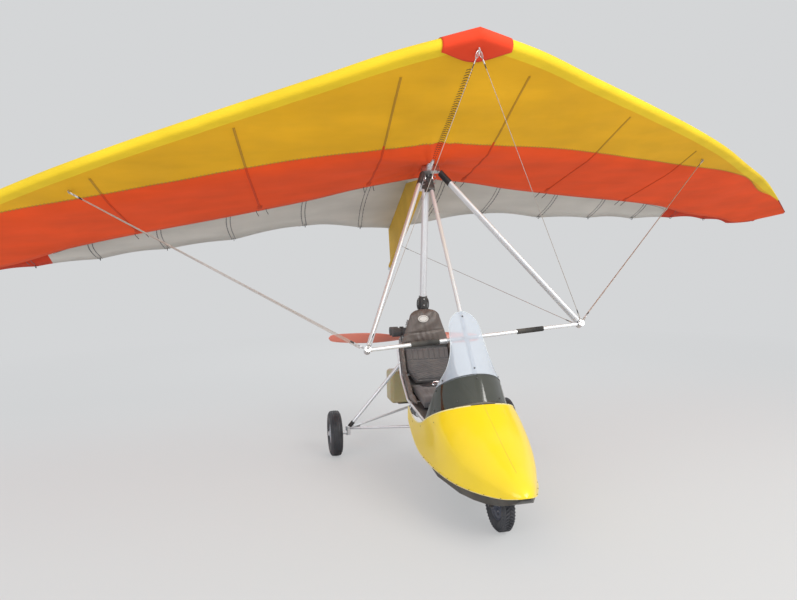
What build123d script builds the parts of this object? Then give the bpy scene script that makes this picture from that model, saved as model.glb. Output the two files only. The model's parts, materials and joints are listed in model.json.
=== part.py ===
from build123d import *
import os
from math import cos, sin, tan, radians

os.makedirs("parts", exist_ok=True)

# Millimetres. X points to port, Y aft and Z up, with the wheels on Z = 0.
# Stations are measured aft of the keel's hang section, heights from the ground.
datum_y = 139            # the hang section's place aft of the origin
fit_gap = 0.3            # clearance between pieces that seat on each other
tube_wall = 3
bolt_radius = 6

# Wing attitude as parked
nose_up = 27.1
bank = 4.05
hang_height = 2480
bolt_drop = 75           # the hang bolt lies this far below the keel's axis

# Wing frame
keel_radius = 25
keel_front = 1400
keel_rear = 1800
rear_wire_station = 1200
skin = 4
frame_width = 1658       # control bar, corner to corner
frame_drop = 1583        # from the keel down to the control bar
frame_lead = 182         # the bar lies ahead of the hang section
upright_top = 79         # half distance between the uprights' tops
upright_lead = 80
upright_chord = 66
upright_thick = 36
knuckle_length = 130
bar_radius = 14
grip_radius = 19
grip_start = 305
grip_end = 515
corner_radius = 24
corner_length = 56
apex_length = 44
wire_radius = 2
wire_pair = 16
side_wire_x = 2772
side_wire_y = -27
tang_radius = 6
tang_low = -45
tang_top = 165
tang_plate = 6
nose_tang = (-1400, -1370)   # front and rear of the plate that carries the front wires
tang_depth = 75
rear_tang_depth = 60
kingpost_height = 900
kingpost_radius = 16
kingpost_station = 85
slot_front = -215        # opening in the lower skin for the apex
slot_rear = 5
slot_half = 105
cap_thick = 3
cap_half = 245
cap_lower = -1270        # lower edge of the nose cap on the centre line
cap_share = 0.15         # share of the upper skin's hump that the cap covers
nose_slot = (10, 40)
nose_wire_height = 94    # where the upper front wire meets the nose cap
pocket_front = 255
pocket_rear = 1736
pocket_thick = 12
pocket_skin = 3.2
fin_shoulder = 591       # where the fin's upper edge meets the upper skin
fin_front_height = 100

# Hang bracket
sleeve_length = 90
sleeve_radius = 32
cheek_gap = 28           # half distance between the cheeks
cheek_thick = 6
cheek_radius = 22

# Trike frame
mast_radius = 30
mast_foot = (419, 262)   # station and height where the mast's axis meets the base tube
fold_height = 1336
mast_top = (62, 2345)
mast_start_height = 325
head_width = 52
strut_radius = 16
strut_top = (-113, 2320)
strut_foot = (-1372, 524.5)
strut_end = 16           # the strut runs this far past its foot's bolt
base_radius = 28
base_front = (-1405, 412)
base_rear = (690, 262)
socket_depth = 150       # the tube's rear end is open this far in
head_angle = 15          # rake of the nose wheel's steering axis
head_station = -1450
head_height = 440
head_length = 120
head_radius = 26
stem_radius = 15

# Nose fork and wheels
nose_axle = (-1500, 170)
nose_radius = 170
nose_width = 84
blade_gap = 58           # half distance between the fork's blades
blade_thick = 8
crown_thick = 24
peg_reach = 170
peg_lead = 45
peg_radius = 11
main_axle = (331, 200)
main_track = 817         # half of the track
main_radius = 200
main_width = 108
rim_radius = 100
axle_radius = 12
hub_width = 96
hub_radius = 27
nut_height = 12

# Undercarriage: outer ends on the hub fitting
hub_x = main_track - 119   # the legs meet on the fitting inside the wheel
hub_height = 235
leg_radius = 16
link_radius = 11
leg_height = 1030        # where the main legs meet the mast
link_height = 400
drag_station = -147

# Pod
pod_wall = 4
rim_height = 300
flange_width = 8
flange_thick = 3
pod_edge = (-1245, 745)  # centre of the cockpit's front edge
pod_side = (-850, 556)
pod_dip = (-600, 512)    # lowest part of the cockpit's side
pod_rear = (-395, 565)   # the cockpit's side turns up to the pod's rear end
arch_front = -1690       # opening in the belly for the nose wheel
arch_rear = -1290
arch_half = 120
cutter_half = 400        # the cuts across the pod run this far to each side
cutter_top = 1000
tail_arc = (-590, 345)   # middle of the arc that cuts the pod's tail
tail_end = (-385, 470)   # the arc ends at the pod's rear end

# Screen
screen_thick = 3
screen_top = 1330

# Tank
tank_front = 430
tank_rear = 660
tank_low = 400
tank_top = 700
tank_half = 270
tray_half = 200

# Propeller and engine
prop_station = 912
prop_tilt = 2.5
prop_hub_radius = 45
prop_hub_length = 70
shaft_radius = 18
engine_front = 440
engine_rear = 720
engine_height = 160
engine_half = 120
starter_radius = 70
starter_length = 35
cylinder_stations = (515, 625)
barrel_radius = 42
barrel_length = 120
fin_half = 62
fin_thick = 5
fin_pitch = 14
fin_count = 8
silencer_x = 240
silencer_radius = 60
silencer_front = 420
silencer_rear = 800
silencer_height = 900
pipe_radius = 20
gearbox_rear = 815
rail_height = 815
rail_half = 75
rail_size = 25
engine_low = rail_height + rail_size
engine_top = engine_low + engine_height
prop_height = engine_low + 115


def at(x, y, z):
    return Vector(x, datum_y + y, z)


def centre(place, x=0):
    return at(x, place[0], place[1])


def along(first, second, share):
    return first + (second - first) * share


def rod(start, end, radius, bore=0, mode=Mode.ADD):
    with BuildSketch(Plane(origin=start, z_dir=end - start)) as ring:
        Circle(radius)
        if bore:
            Circle(bore, mode=Mode.SUBTRACT)
    extrude(ring.sketch, amount=(end - start).length, mode=mode)


def side(x):
    """Plane across X, with Y as its station and Z as its height."""
    return Plane(origin=at(x, 0, 0), x_dir=(0, 1, 0), z_dir=(1, 0, 0))


def cheek(circles, x, thickness, mode=Mode.ADD):
    """Plate across X that wraps some circles, each a station, a height and a radius."""
    with BuildSketch(side(x)) as outline:
        for station, height, radius in circles:
            with Locations((station, height)):
                Circle(radius)
        make_hull()
    extrude(outline.sketch, amount=thickness, mode=mode)


def slab(x, y, z, mode=Mode.ADD):
    """Box between two limits on each axis, given as pairs."""
    with BuildSketch(Plane(origin=at((x[0] + x[1]) / 2, (y[0] + y[1]) / 2, z[0]))) as face:
        Rectangle(x[1] - x[0], y[1] - y[0])
    extrude(face.sketch, amount=z[1] - z[0], mode=mode)


def save(builder, name):
    builder.part.label = name
    export_step(builder.part, "parts/" + name + ".step")


# Planes of the wing: X along the span, Y aft along the keel, Z out of the sail
pitch = radians(nose_up)
roll = radians(-bank)
hang = at(0, 0, hang_height)
level_up = Vector(0, sin(pitch), cos(pitch))
span_dir = Vector(cos(roll), -sin(roll) * sin(pitch), -sin(roll) * cos(pitch))
wing_up = Vector(sin(roll), cos(roll) * sin(pitch), cos(roll) * cos(pitch))
wing = Plane(origin=hang, x_dir=span_dir, z_dir=wing_up)
bracket = Plane(origin=hang, x_dir=(1, 0, 0), z_dir=level_up)
symmetry = Plane(origin=hang, x_dir=wing.y_dir, z_dir=wing.x_dir)
bolt = bracket.from_local_coords((0, 0, -bolt_drop))


def on_wing(x, y, z):
    return wing.from_local_coords((x, y, z))


# Sail: span station, leading edge y and z, nose radius, belly y and z,
# rear edge of the lower skin y and z, trailing edge y and z
ribs = [
    (0, -1490, 0, 42, -200, -36, 300, 150, 1512, 336),
    (500, -1315, 0, 42, -250, -40, 385, 130, 1330, 300),
    (1010, -1085, 0, 42, -200, -40, 510, 105, 1175, 250),
    (1765, -745, 0, 42, -50, -38, 690, 95, 1255, 190),
    (2390, -450, 5, 40, 150, -32, 820, 85, 1265, 150),
    (3020, -120, 15, 38, 300, -20, 985, 80, 1330, 130),
    (3510, 184, 40, 34, 500, 0, 1200, 85, 1350, 120),
    (4180, 607, 80, 24, 800, 57, 1400, 87, 1480, 105),
    (4620, 935, 88, 14, 1100, 75, 1560, 90, 1610, 100),
    (5000, 1235, 94, 8, 1330, 87, 1470, 90, 1500, 100),
    (5190, 1385, 98, 6, 1395, 92, 1412, 90.5, 1425, 100),
]
crown_share = 0.27       # crest of the upper skin, as a share of the chord
entry = 18               # slope of the chord from the nose to the crest


def rib_curves(rib, inset):
    """Edges of one skin face of a rib, from the trailing edge round the nose to the rear edge."""
    x, le_y, le_z, nose, belly_y, belly_z, rear_y, rear_z, te_y, te_z = rib
    radius = nose - inset
    middle = Vector(le_y + nose, le_z)
    slope = radians(2 * entry)
    top = middle + Vector(-sin(slope), cos(slope)) * radius
    run = crown_share * (te_y - le_y)
    outer_top = middle + Vector(-sin(slope), cos(slope)) * nose
    crest = outer_top + Vector(cos(radians(entry)), sin(radians(entry))) * run - Vector(0, inset)
    trailing = Vector(te_y, te_z - inset)
    front = middle + Vector(-radius, 0)
    bottom = middle + Vector(0, -radius)
    belly = Vector(belly_y, belly_z + inset)
    rear = Vector(rear_y, rear_z + inset)
    rise = crest - top
    hump = along(top, crest, 0.5) + Vector(-rise.Y, rise.X) * (tan(radians(entry) / 2) / 2)
    fall = trailing - crest
    back = crest + Vector(fall.X / 2, fall.Y / 4)
    return [top, front, bottom, belly, rear], (trailing, back, crest, hump)


def rib_face(rib):
    outer, (te_out, back_out, crest_out, hump_out) = rib_curves(rib, 0)
    inner, (te_in, back_in, crest_in, hump_in) = rib_curves(rib, skin)
    with BuildSketch(Plane(origin=on_wing(rib[0], 0, 0), x_dir=wing.y_dir, z_dir=wing.x_dir)) as face:
        with BuildLine():
            ThreePointArc(te_out, back_out, crest_out)
            ThreePointArc(crest_out, hump_out, outer[0])
            ThreePointArc(outer[0], outer[1], outer[2])
            Line(outer[2], outer[3])
            Line(outer[3], outer[4])
            Line(outer[4], inner[4])
            Line(inner[4], inner[3])
            Line(inner[3], inner[2])
            ThreePointArc(inner[2], inner[1], inner[0])
            ThreePointArc(inner[0], hump_in, crest_in)
            ThreePointArc(crest_in, back_in, te_in)
            Line(te_in, te_out)
        make_face()
    return face.sketch


# Sail
with BuildPart() as port_sail:
    loft([rib_face(rib) for rib in ribs], ruled=True)
    with BuildSketch(wing.offset(2 * sleeve_radius)):
        with Locations((0, (slot_front + slot_rear) / 2)):
            Rectangle(2 * slot_half, slot_rear - slot_front)
    extrude(amount=-4 * sleeve_radius, mode=Mode.SUBTRACT)
    with BuildSketch(wing):
        with Locations((0, sum(nose_tang) / 2)):
            Rectangle(nose_slot[0], nose_slot[1])
    extrude(amount=-90, mode=Mode.SUBTRACT)
    with BuildSketch(wing.offset(keel_radius)):
        with Locations((0, kingpost_station)):
            Circle(kingpost_radius + 3)
    extrude(amount=500, mode=Mode.SUBTRACT)
    with BuildSketch(wing.offset(2 * tang_low)):
        with Locations((side_wire_x, side_wire_y)):
            Circle(tang_radius + 2)
    extrude(amount=500, mode=Mode.SUBTRACT)
save(port_sail, "sail_left")

with BuildPart() as starboard_sail:
    mirror(port_sail.part, about=symmetry)
save(starboard_sail, "sail_right")


def cap_face(rib, lower_edge):
    """Face of the nose cap at a rib: the skin's nose offset outwards by the cap's gap and wall."""
    faces = []
    for gap in (fit_gap, fit_gap + cap_thick):
        lower, (trailing, back, crest, hump) = rib_curves(rib, -gap)
        hood = Edge.make_three_point_arc(lower[0], hump, crest)
        faces.append((hood @ cap_share, hood @ (cap_share / 2), lower, Vector(lower_edge, lower[2].Y)))
    inner, outer = faces
    with BuildSketch(Plane(origin=on_wing(rib[0], 0, 0), x_dir=wing.y_dir, z_dir=wing.x_dir)) as face:
        with BuildLine():
            ThreePointArc(outer[0], outer[1], outer[2][0])
            ThreePointArc(outer[2][0], outer[2][1], outer[2][2])
            Line(outer[2][2], outer[3])
            Line(outer[3], inner[3])
            Line(inner[3], inner[2][2])
            ThreePointArc(inner[2][2], inner[2][1], inner[2][0])
            ThreePointArc(inner[2][0], inner[1], inner[0])
            Line(inner[0], outer[0])
        make_face()
    return face.sketch


cap_rib = tuple(first + (second - first) * cap_half / ribs[1][0] for first, second in zip(ribs[0], ribs[1]))
with BuildPart() as cap_side:
    loft([cap_face(ribs[0], cap_lower), cap_face(cap_rib, cap_rib[1] + cap_rib[3] + 8)], ruled=True)

with BuildPart() as nose_cap:
    add(cap_side.part)
    mirror(cap_side.part, about=symmetry)
    with BuildSketch(wing):
        with Locations((0, sum(nose_tang) / 2)):
            Rectangle(nose_slot[0], nose_slot[1])
    extrude(amount=-90, mode=Mode.SUBTRACT)
save(nose_cap, "nose_cap")


# Keel with the plates that carry the wires
def keel_plate(front, rear, low):
    with BuildSketch(symmetry.offset(-tang_plate / 2)) as plate:
        with Locations(((front + rear) / 2, -(keel_radius - 1.5 + low) / 2)):
            Rectangle(rear - front, low - keel_radius + 1.5)
    extrude(plate.sketch, amount=tang_plate)


rear_tang = (rear_wire_station - 15, rear_wire_station + 15)
with BuildPart() as keel:
    rod(on_wing(0, -keel_front, 0), on_wing(0, keel_rear, 0), keel_radius, keel_radius - tube_wall)
    keel_plate(nose_tang[0], nose_tang[1], tang_depth)
    keel_plate(rear_tang[0], rear_tang[1], rear_tang_depth)
save(keel, "keel_tube")

# Keel pocket: a sleeve on the keel and the fabric fin that holds the sail down to it
trailing, back, crest, hump = rib_curves(ribs[0], skin + fit_gap + 0.5)[1]
ceiling = Edge.make_three_point_arc(trailing, back, crest)
fin_share = (trailing.X - fin_shoulder) / (trailing.X - crest.X)
with BuildPart() as pocket:
    rod(on_wing(0, pocket_front, 0), on_wing(0, pocket_rear, 0), keel_radius + pocket_skin)
    with BuildSketch(symmetry.offset(-pocket_thick / 2)) as fin:
        with BuildLine():
            ThreePointArc(trailing, ceiling @ (fin_share / 2), ceiling @ fin_share)
            Line(ceiling @ fin_share, (pocket_front, fin_front_height))
            Line((pocket_front, fin_front_height), (pocket_front, 0))
            Line((pocket_front, 0), (pocket_rear, 0))
            Line((pocket_rear, 0), trailing)
        make_face()
    extrude(amount=pocket_thick)
    rod(on_wing(0, 0, 0), on_wing(0, keel_rear, 0), keel_radius + fit_gap, mode=Mode.SUBTRACT)
    with BuildSketch(wing):
        with Locations((0, rear_wire_station)):
            Rectangle(tang_plate + 4, rear_tang[1] - rear_tang[0] + 4)
    extrude(amount=-2 * keel_radius, mode=Mode.SUBTRACT)
save(pocket, "keel_pocket")

with BuildPart() as kingpost:
    rod(on_wing(0, kingpost_station, 0), on_wing(0, kingpost_station, kingpost_height),
        kingpost_radius)
    rod(on_wing(0, kingpost_station, keel_radius + fit_gap), on_wing(0, kingpost_station, keel_radius + 20),
        kingpost_radius + 8)
    rod(on_wing(0, kingpost_station, kingpost_height - 30), on_wing(0, kingpost_station, kingpost_height + 6),
        kingpost_radius + 4)
    rod(on_wing(0, 0, 0), on_wing(0, 2 * kingpost_station, 0), keel_radius + fit_gap, mode=Mode.SUBTRACT)
save(kingpost, "kingpost")

# Control frame
corners = [on_wing(hand * frame_width / 2, -frame_lead, -frame_drop) for hand in (1, -1)]
tops = [on_wing(hand * upright_top, -upright_lead, -bolt_drop) for hand in (1, -1)]


def streamlined(start, end, chord, thick):
    with BuildSketch(Plane(origin=start, x_dir=wing.y_dir, z_dir=end - start)) as section:
        Ellipse(chord / 2, thick / 2)
    extrude(section.sketch, amount=(end - start).length)


for top, corner, name in zip(tops, corners, ("upright_left", "upright_right")):
    down = (corner - top).normalized()
    with BuildPart() as upright:
        streamlined(top + down * knuckle_length, corner - down * (corner_radius + 2),
                    upright_chord, upright_thick)
    save(upright, name)

with BuildPart() as knuckles:
    for top, corner in zip(tops, corners):
        down = (corner - top).normalized()
        streamlined(top, top + down * knuckle_length, upright_chord + 6, upright_thick + 6)
save(knuckles, "upright_knuckles")

with BuildPart() as apex:
    rod(on_wing(0, -upright_lead - apex_length / 2, 0), on_wing(0, -upright_lead + apex_length / 2, 0),
        keel_radius + 7)
    with BuildSketch(wing.offset(-bolt_drop + 13)):
        with Locations((0, -upright_lead)):
            Rectangle(2 * upright_top - 10, apex_length)
    extrude(amount=bolt_drop - 25)
    for top, corner in zip(tops, corners):
        up = (top - corner).normalized()
        rod(top, top + up * 30, 9)
    rod(on_wing(0, -2 * upright_lead, 0), on_wing(0, 0, 0), keel_radius + fit_gap, mode=Mode.SUBTRACT)
save(apex, "apex_bracket")

bar_trim = corner_radius + fit_gap
across = (corners[0] - corners[1]).normalized()
with BuildPart() as bar:
    rod(corners[1] + across * bar_trim, corners[0] - across * bar_trim, bar_radius, bar_radius - 2)
save(bar, "control_bar")

with BuildPart() as grips:
    for hand in (1, -1):
        rod(on_wing(hand * grip_start, -frame_lead, -frame_drop),
            on_wing(hand * grip_end, -frame_lead, -frame_drop), grip_radius, bar_radius + fit_gap)
save(grips, "bar_grips")

with BuildPart() as fittings:
    for hand in (1, -1):
        rod(on_wing(hand * frame_width / 2, -frame_lead - corner_length / 2, -frame_drop),
            on_wing(hand * frame_width / 2, -frame_lead + corner_length / 2, -frame_drop), corner_radius)
save(fittings, "corner_fittings")


# Rigging. A wire stops short of the round or flat face that it butts against.
def off_round(line, axis, radius):
    lean = radians(line.get_angle(axis))
    return (radius + fit_gap + wire_radius * abs(cos(lean))) / sin(lean)


def off_flat(line, normal):
    lean = radians(line.get_angle(normal))
    return (fit_gap + wire_radius * sin(lean)) / abs(cos(lean))


def wire(start, end, start_stop, end_stop):
    """Each stop is a function of the wire's direction that gives how far short it ends."""
    line = (end - start).normalized()
    rod(start + line * start_stop(line), end - line * end_stop(line), wire_radius)


with BuildPart() as side_tangs:
    for hand in (1, -1):
        foot = on_wing(hand * side_wire_x, side_wire_y, tang_low)
        rod(foot, on_wing(hand * side_wire_x, side_wire_y, tang_top), tang_radius)
        with BuildSketch(Plane(origin=foot, x_dir=wing.x_dir, z_dir=wing_up)) as plate:
            Rectangle(2 * tang_radius, 2 * wire_pair)
        extrude(plate.sketch, amount=4)
save(side_tangs, "wire_tangs")

with BuildPart() as side_wires:
    for hand in (1, -1):
        for shift in (-wire_pair / 2, wire_pair / 2):
            wire(on_wing(hand * frame_width / 2, -frame_lead + shift, -frame_drop),
                 on_wing(hand * side_wire_x, side_wire_y + shift, tang_low),
                 lambda line: off_round(line, wing.y_dir, corner_radius),
                 lambda line: off_flat(line, wing_up))
save(side_wires, "side_wires")

wire_ends = [(-1, sum(nose_tang) / 2, tang_depth), (1, rear_wire_station, rear_tang_depth)]
with BuildPart() as long_wires:
    for hand in (1, -1):
        for reach, station, low in wire_ends:
            wire(on_wing(hand * frame_width / 2, -frame_lead + reach * corner_length / 2, -frame_drop),
                 on_wing(hand * tang_plate / 2, station, 8 - low),
                 lambda line: off_flat(line, wing.y_dir), lambda line: off_flat(line, wing.x_dir))
save(long_wires, "fore_aft_wires")

wire_top = on_wing(0, kingpost_station, kingpost_height - 12)
with BuildPart() as upper_wires:
    upper_ends = [on_wing(hand * side_wire_x, side_wire_y, tang_top - 6) for hand in (1, -1)]
    for end in upper_ends:
        wire(wire_top, end, lambda line: off_round(line, wing_up, kingpost_radius + 4),
             lambda line: off_round(line, wing_up, tang_radius))
    for end in (on_wing(ribs[2][0], ribs[2][8], ribs[2][9]), on_wing(-ribs[2][0], ribs[2][8], ribs[2][9]),
                on_wing(0, ribs[0][8], ribs[0][9]), on_wing(0, ribs[0][1] + 90, nose_wire_height)):
        wire(wire_top, end, lambda line: off_round(line, wing_up, kingpost_radius + 4),
             lambda line: off_flat(line, wing_up))
save(upper_wires, "upper_wires")

# Hang bracket
with BuildPart() as hang_bracket:
    rod(bracket.from_local_coords((0, -sleeve_length / 2, 0)),
        bracket.from_local_coords((0, sleeve_length / 2, 0)), sleeve_radius)
    for x in (cheek_gap, -cheek_gap - cheek_thick):
        with BuildSketch(Plane(origin=hang + Vector(x, 0, 0), x_dir=bracket.y_dir, z_dir=(1, 0, 0))) as plate:
            for station, height, radius in ((-25, -12, 10), (25, -12, 10), (0, -bolt_drop, cheek_radius)):
                with Locations((station, height)):
                    Circle(radius)
            make_hull()
        extrude(plate.sketch, amount=cheek_thick)
    rod(bolt - Vector(cheek_gap + cheek_thick + 8, 0, 0), bolt + Vector(cheek_gap + cheek_thick + 8, 0, 0),
        bolt_radius)
    rod(bracket.from_local_coords((0, -sleeve_length, 0)), bracket.from_local_coords((0, sleeve_length, 0)),
        keel_radius + fit_gap, mode=Mode.SUBTRACT)
save(hang_bracket, "hang_bracket")

# Mast and front strut
mast_line = (centre(mast_top) - centre(mast_foot)).normalized()


def mast_point(height):
    share = (height - mast_foot[1]) / (mast_top[1] - mast_foot[1])
    return along(centre(mast_foot), centre(mast_top), share)


bolt_place = (bolt.Y - datum_y, bolt.Z)
with BuildPart() as head:
    cheek([(*bolt_place, 26), (*mast_top, mast_radius + 2), (*strut_top, strut_radius + 5)], -head_width / 2,
          head_width)
    rod(centre(mast_top), centre(mast_top) - mast_line * 150, 2 * mast_radius, mode=Mode.SUBTRACT)
    rod(bolt - Vector(head_width, 0, 0), bolt + Vector(head_width, 0, 0), bolt_radius + fit_gap,
        mode=Mode.SUBTRACT)
save(head, "mast_head")

fold_point = mast_point(fold_height)
with BuildPart() as upper_mast:
    rod(fold_point, centre(mast_top), mast_radius, mast_radius - tube_wall)
save(upper_mast, "upper_mast")

with BuildPart() as lower_mast:
    rod(mast_point(mast_start_height), fold_point, mast_radius, mast_radius - tube_wall)
save(lower_mast, "lower_mast")

with BuildPart() as fold_bracket:
    rod(fold_point - mast_line * 75, fold_point + mast_line * 75, mast_radius + 7, mast_radius + fit_gap)
save(fold_bracket, "fold_bracket")

strut_line = (centre(strut_foot) - centre(strut_top)).normalized()
with BuildPart() as strut:
    rod(centre(strut_top) + strut_line * (strut_radius + 5 + fit_gap),
        centre(strut_foot) + strut_line * strut_end, strut_radius, strut_radius - tube_wall)
    rod(centre(strut_foot, -2 * strut_radius), centre(strut_foot, 2 * strut_radius), bolt_radius + fit_gap,
        mode=Mode.SUBTRACT)
save(strut, "front_strut")

# Base tube with the steering head and the lugs for the strut's foot
rake = radians(head_angle)
head_axis = Vector(0, sin(rake), cos(rake))
head_centre = at(0, head_station, head_height)
base_line = (centre(base_rear) - centre(base_front)).normalized()


def base_point(station):
    share = (station - base_front[0]) / (base_rear[0] - base_front[0])
    return along(centre(base_front), centre(base_rear), share)


lug_gap = strut_radius + fit_gap
with BuildPart() as base_tube:
    rod(centre(base_front) - base_line * 40, centre(base_rear), base_radius, base_radius - tube_wall)
    rod(centre(base_rear) - base_line * (socket_depth + 2 * tube_wall),
        centre(base_rear) - base_line * socket_depth, base_radius - 1)
    rod(head_centre - head_axis * head_length / 2, head_centre + head_axis * head_length / 2, head_radius)
    for x in (lug_gap, -lug_gap - cheek_thick):
        cheek([(*strut_foot, 18), (strut_foot[0] - 3, 425, 26)], x, cheek_thick)
    rod(centre(strut_foot, -lug_gap - cheek_thick - 4), centre(strut_foot, lug_gap + cheek_thick + 4),
        bolt_radius)
    rod(head_centre - head_axis * head_length, head_centre + head_axis * head_length, stem_radius + fit_gap,
        mode=Mode.SUBTRACT)
save(base_tube, "base_tube")


# Collars clamp on a tube and carry bosses that the legs butt against
def collar(middle, line, radius, length, bosses):
    rod(middle - line * length / 2, middle + line * length / 2, radius + 8)
    for target, boss_radius, reach in bosses:
        rod(middle, middle + (target - middle).normalized() * reach, boss_radius)
    rod(middle - line * length, middle + line * length, radius + fit_gap, mode=Mode.SUBTRACT)


hubs = [at(hand * hub_x, main_axle[0], hub_height) for hand in (1, -1)]
leg_reach = mast_radius + 38
leg_top = mast_point(leg_height)
link_top = mast_point(link_height)
drag_top = base_point(drag_station)
with BuildPart() as leg_collar:
    collar(leg_top, mast_line, mast_radius, 70, [(hub, leg_radius + 3, leg_reach) for hub in hubs])
save(leg_collar, "leg_collar")

with BuildPart() as link_collar:
    collar(link_top, mast_line, mast_radius, 50, [(hub, link_radius + 3, leg_reach) for hub in hubs])
save(link_collar, "link_collar")

with BuildPart() as drag_collar:
    collar(drag_top, base_line, base_radius, 50, [(hub, link_radius + 3, leg_reach) for hub in hubs])
save(drag_collar, "drag_collar")

for hub, hand, name in zip(hubs, (1, -1), ("undercarriage_left", "undercarriage_right")):
    axle_start = Vector(hub.X, hub.Y, main_axle[1])
    inner = Vector(hand * (main_track - hub_width / 2) - hub.X, 0, 0)
    outer = Vector(hand * (main_track + hub_width / 2) - hub.X, 0, 0)
    axle_end = axle_start + outer + Vector(hand * nut_height, 0, 0)
    with BuildPart() as undercarriage:
        for start, radius in ((leg_top, leg_radius), (link_top, link_radius), (drag_top, link_radius)):
            rod(start + (hub - start).normalized() * leg_reach, hub, radius)
        rod(hub - Vector(0, 0, hub_height - main_axle[1] + 22), hub + Vector(0, 0, 22), 22)
        rod(axle_start, axle_start + inner - Vector(hand, 0, 0), axle_radius + 6)
        rod(axle_start, axle_end, axle_radius)
        rod(axle_start + outer + Vector(hand, 0, 0), axle_end, axle_radius + 6)
    save(undercarriage, name)


# Wheels turn about X
def tyre(place, x, radius, width):
    """Ring with a flat bead, bulging walls and a rounded crown."""
    depth = radius - rim_radius
    wall = [(0.66, 0), (1, 0.5), (0.9, 0.8), (0.48, 1)]
    port = [(share * width / 2, rim_radius + rise * depth) for share, rise in wall]
    with BuildSketch(Plane(origin=centre(place, x), x_dir=(1, 0, 0), z_dir=(0, -1, 0))) as section:
        with BuildLine():
            Polyline(port + [(-reach, height) for reach, height in reversed(port)], close=True)
        make_face()
    revolve(section.sketch, axis=Axis(centre(place, x), (1, 0, 0)))


def rim(place, x, width):
    half = 0.66 * width / 2
    port = [(hub_width / 2, axle_radius + fit_gap), (hub_width / 2, hub_radius), (8, hub_radius + 6),
            (5, rim_radius - 8), (half, rim_radius - 5), (half, rim_radius - fit_gap)]
    with BuildSketch(Plane(origin=centre(place, x), x_dir=(1, 0, 0), z_dir=(0, -1, 0))) as section:
        with BuildLine():
            Polyline(port + [(-reach, height) for reach, height in reversed(port)], close=True)
        make_face()
    revolve(section.sketch, axis=Axis(centre(place, x), (1, 0, 0)))


wheels = [
    ("nose", nose_axle, 0, nose_radius, nose_width),
    ("left", main_axle, main_track, main_radius, main_width),
    ("right", main_axle, -main_track, main_radius, main_width),
]
for name, place, x, radius, width in wheels:
    with BuildPart() as tyre_part:
        tyre(place, x, radius, width)
    save(tyre_part, name + "_tyre")
    with BuildPart() as rim_part:
        rim(place, x, width)
    save(rim_part, name + "_rim")

# Nose fork, turning about the raked axis
fork = Plane(origin=head_centre, x_dir=(1, 0, 0), z_dir=head_axis)
crown_low = -head_length / 2 - fit_gap - crown_thick
with BuildPart() as nose_fork:
    rod(head_centre - head_axis * (head_length / 2 + 5), head_centre + head_axis * (head_length / 2 + 10),
        stem_radius)
    rod(head_centre + head_axis * (head_length / 2 + fit_gap),
        head_centre + head_axis * (head_length / 2 + nut_height), stem_radius + 5)
    with BuildSketch(fork.offset(crown_low)) as crown:
        RectangleRounded(2 * (blade_gap + blade_thick), 2 * head_radius, 8)
    extrude(crown.sketch, amount=crown_thick)
    crown_place = (head_centre + head_axis * (crown_low + crown_thick / 2)).Y - datum_y
    crown_height = (head_centre + head_axis * (crown_low + crown_thick / 2)).Z
    for x in (blade_gap, -blade_gap - blade_thick):
        cheek([(crown_place, crown_height, 12), (*nose_axle, 18)], x, blade_thick)
    axle_reach = blade_gap + blade_thick + 8
    rod(centre(nose_axle, -axle_reach), centre(nose_axle, axle_reach), axle_radius)
    for hand in (1, -1):
        rod(centre(nose_axle, hand * (hub_width / 2 + 1)), centre(nose_axle, hand * blade_gap),
            axle_radius + 6)
save(nose_fork, "nose_fork")

crown_high = crown_low + crown_thick
peg_level = crown_high + 22
with BuildPart() as pegs:
    rod(fork.from_local_coords((-peg_reach, -peg_lead, peg_level)),
        fork.from_local_coords((peg_reach, -peg_lead, peg_level)), peg_radius)
    for x in (-45, 35):
        lug_face = Plane(origin=fork.from_local_coords((x, 0, 0)), x_dir=fork.y_dir, z_dir=fork.x_dir)
        with BuildSketch(lug_face) as lug:
            with BuildLine():
                Polyline((-peg_lead - 8, peg_level), (-peg_lead + 8, peg_level + 8), (-12, crown_high + 8),
                         (-6, crown_high), (-26, crown_high), close=True)
            make_face()
        extrude(lug.sketch, amount=10)
save(pegs, "foot_pegs")

# Pod: station, rise of the rim, half width at the rim, shoulder half width and height, crown height
pod_sections = [
    (-1905, 52, 8, 7, 356, 360),
    (-1893, 47, 38, 36, 356, 375),
    (-1870, 40, 65, 62, 360, 396),
    (-1825, 28, 98, 94, 366, 425),
    (-1755, 16, 135, 130, 378, 461),
    (-1665, 8, 182, 176, 394, 505),
    (-1565, 3, 226, 220, 418, 558),
    (-1435, 0, 268, 262, 465, 634),
    (-1285, 0, 297, 292, 530, 721),
    (-1105, 0, 314, 311, 600, 820),
    (-850, 0, 320, 318, 620, 900),
    (-270, 0, 310, 308, 620, 900),
]
crown_fullness = 0.74
rim_last = 11            # the rim runs along this many of the pod's sections
# Belly pan: station, half width, floor height
pan_sections = [
    (-1893, 32, 336),
    (-1870, 59, 316),
    (-1825, 92, 290),
    (-1755, 129, 264),
    (-1665, 176, 247),
    (-1565, 220, 240),
    (-1435, 263, 238),
    (-1105, 309, 238),
    (-950, 300, 238),
    (-700, 220, 238),
    (-420, 120, 252),
]


def pod_face(row, inset, open_below):
    station, rise, half, shoulder_half, shoulder, crown_top = row
    low = rim_height + rise - open_below
    base_half = half - inset
    edge_half = shoulder_half - inset
    top = crown_top - inset
    bulge = (0.62 * edge_half, shoulder + crown_fullness * (top - shoulder))
    with BuildSketch(Plane(origin=at(0, station, 0), x_dir=(1, 0, 0), z_dir=(0, -1, 0))) as face:
        with BuildLine():
            Line((-base_half, low), (base_half, low))
            Line((base_half, low), (edge_half, shoulder))
            ThreePointArc((edge_half, shoulder), bulge, (0, top))
            ThreePointArc((0, top), (-bulge[0], bulge[1]), (-edge_half, shoulder))
            Line((-edge_half, shoulder), (-base_half, low))
        make_face()
    return face.sketch


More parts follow.
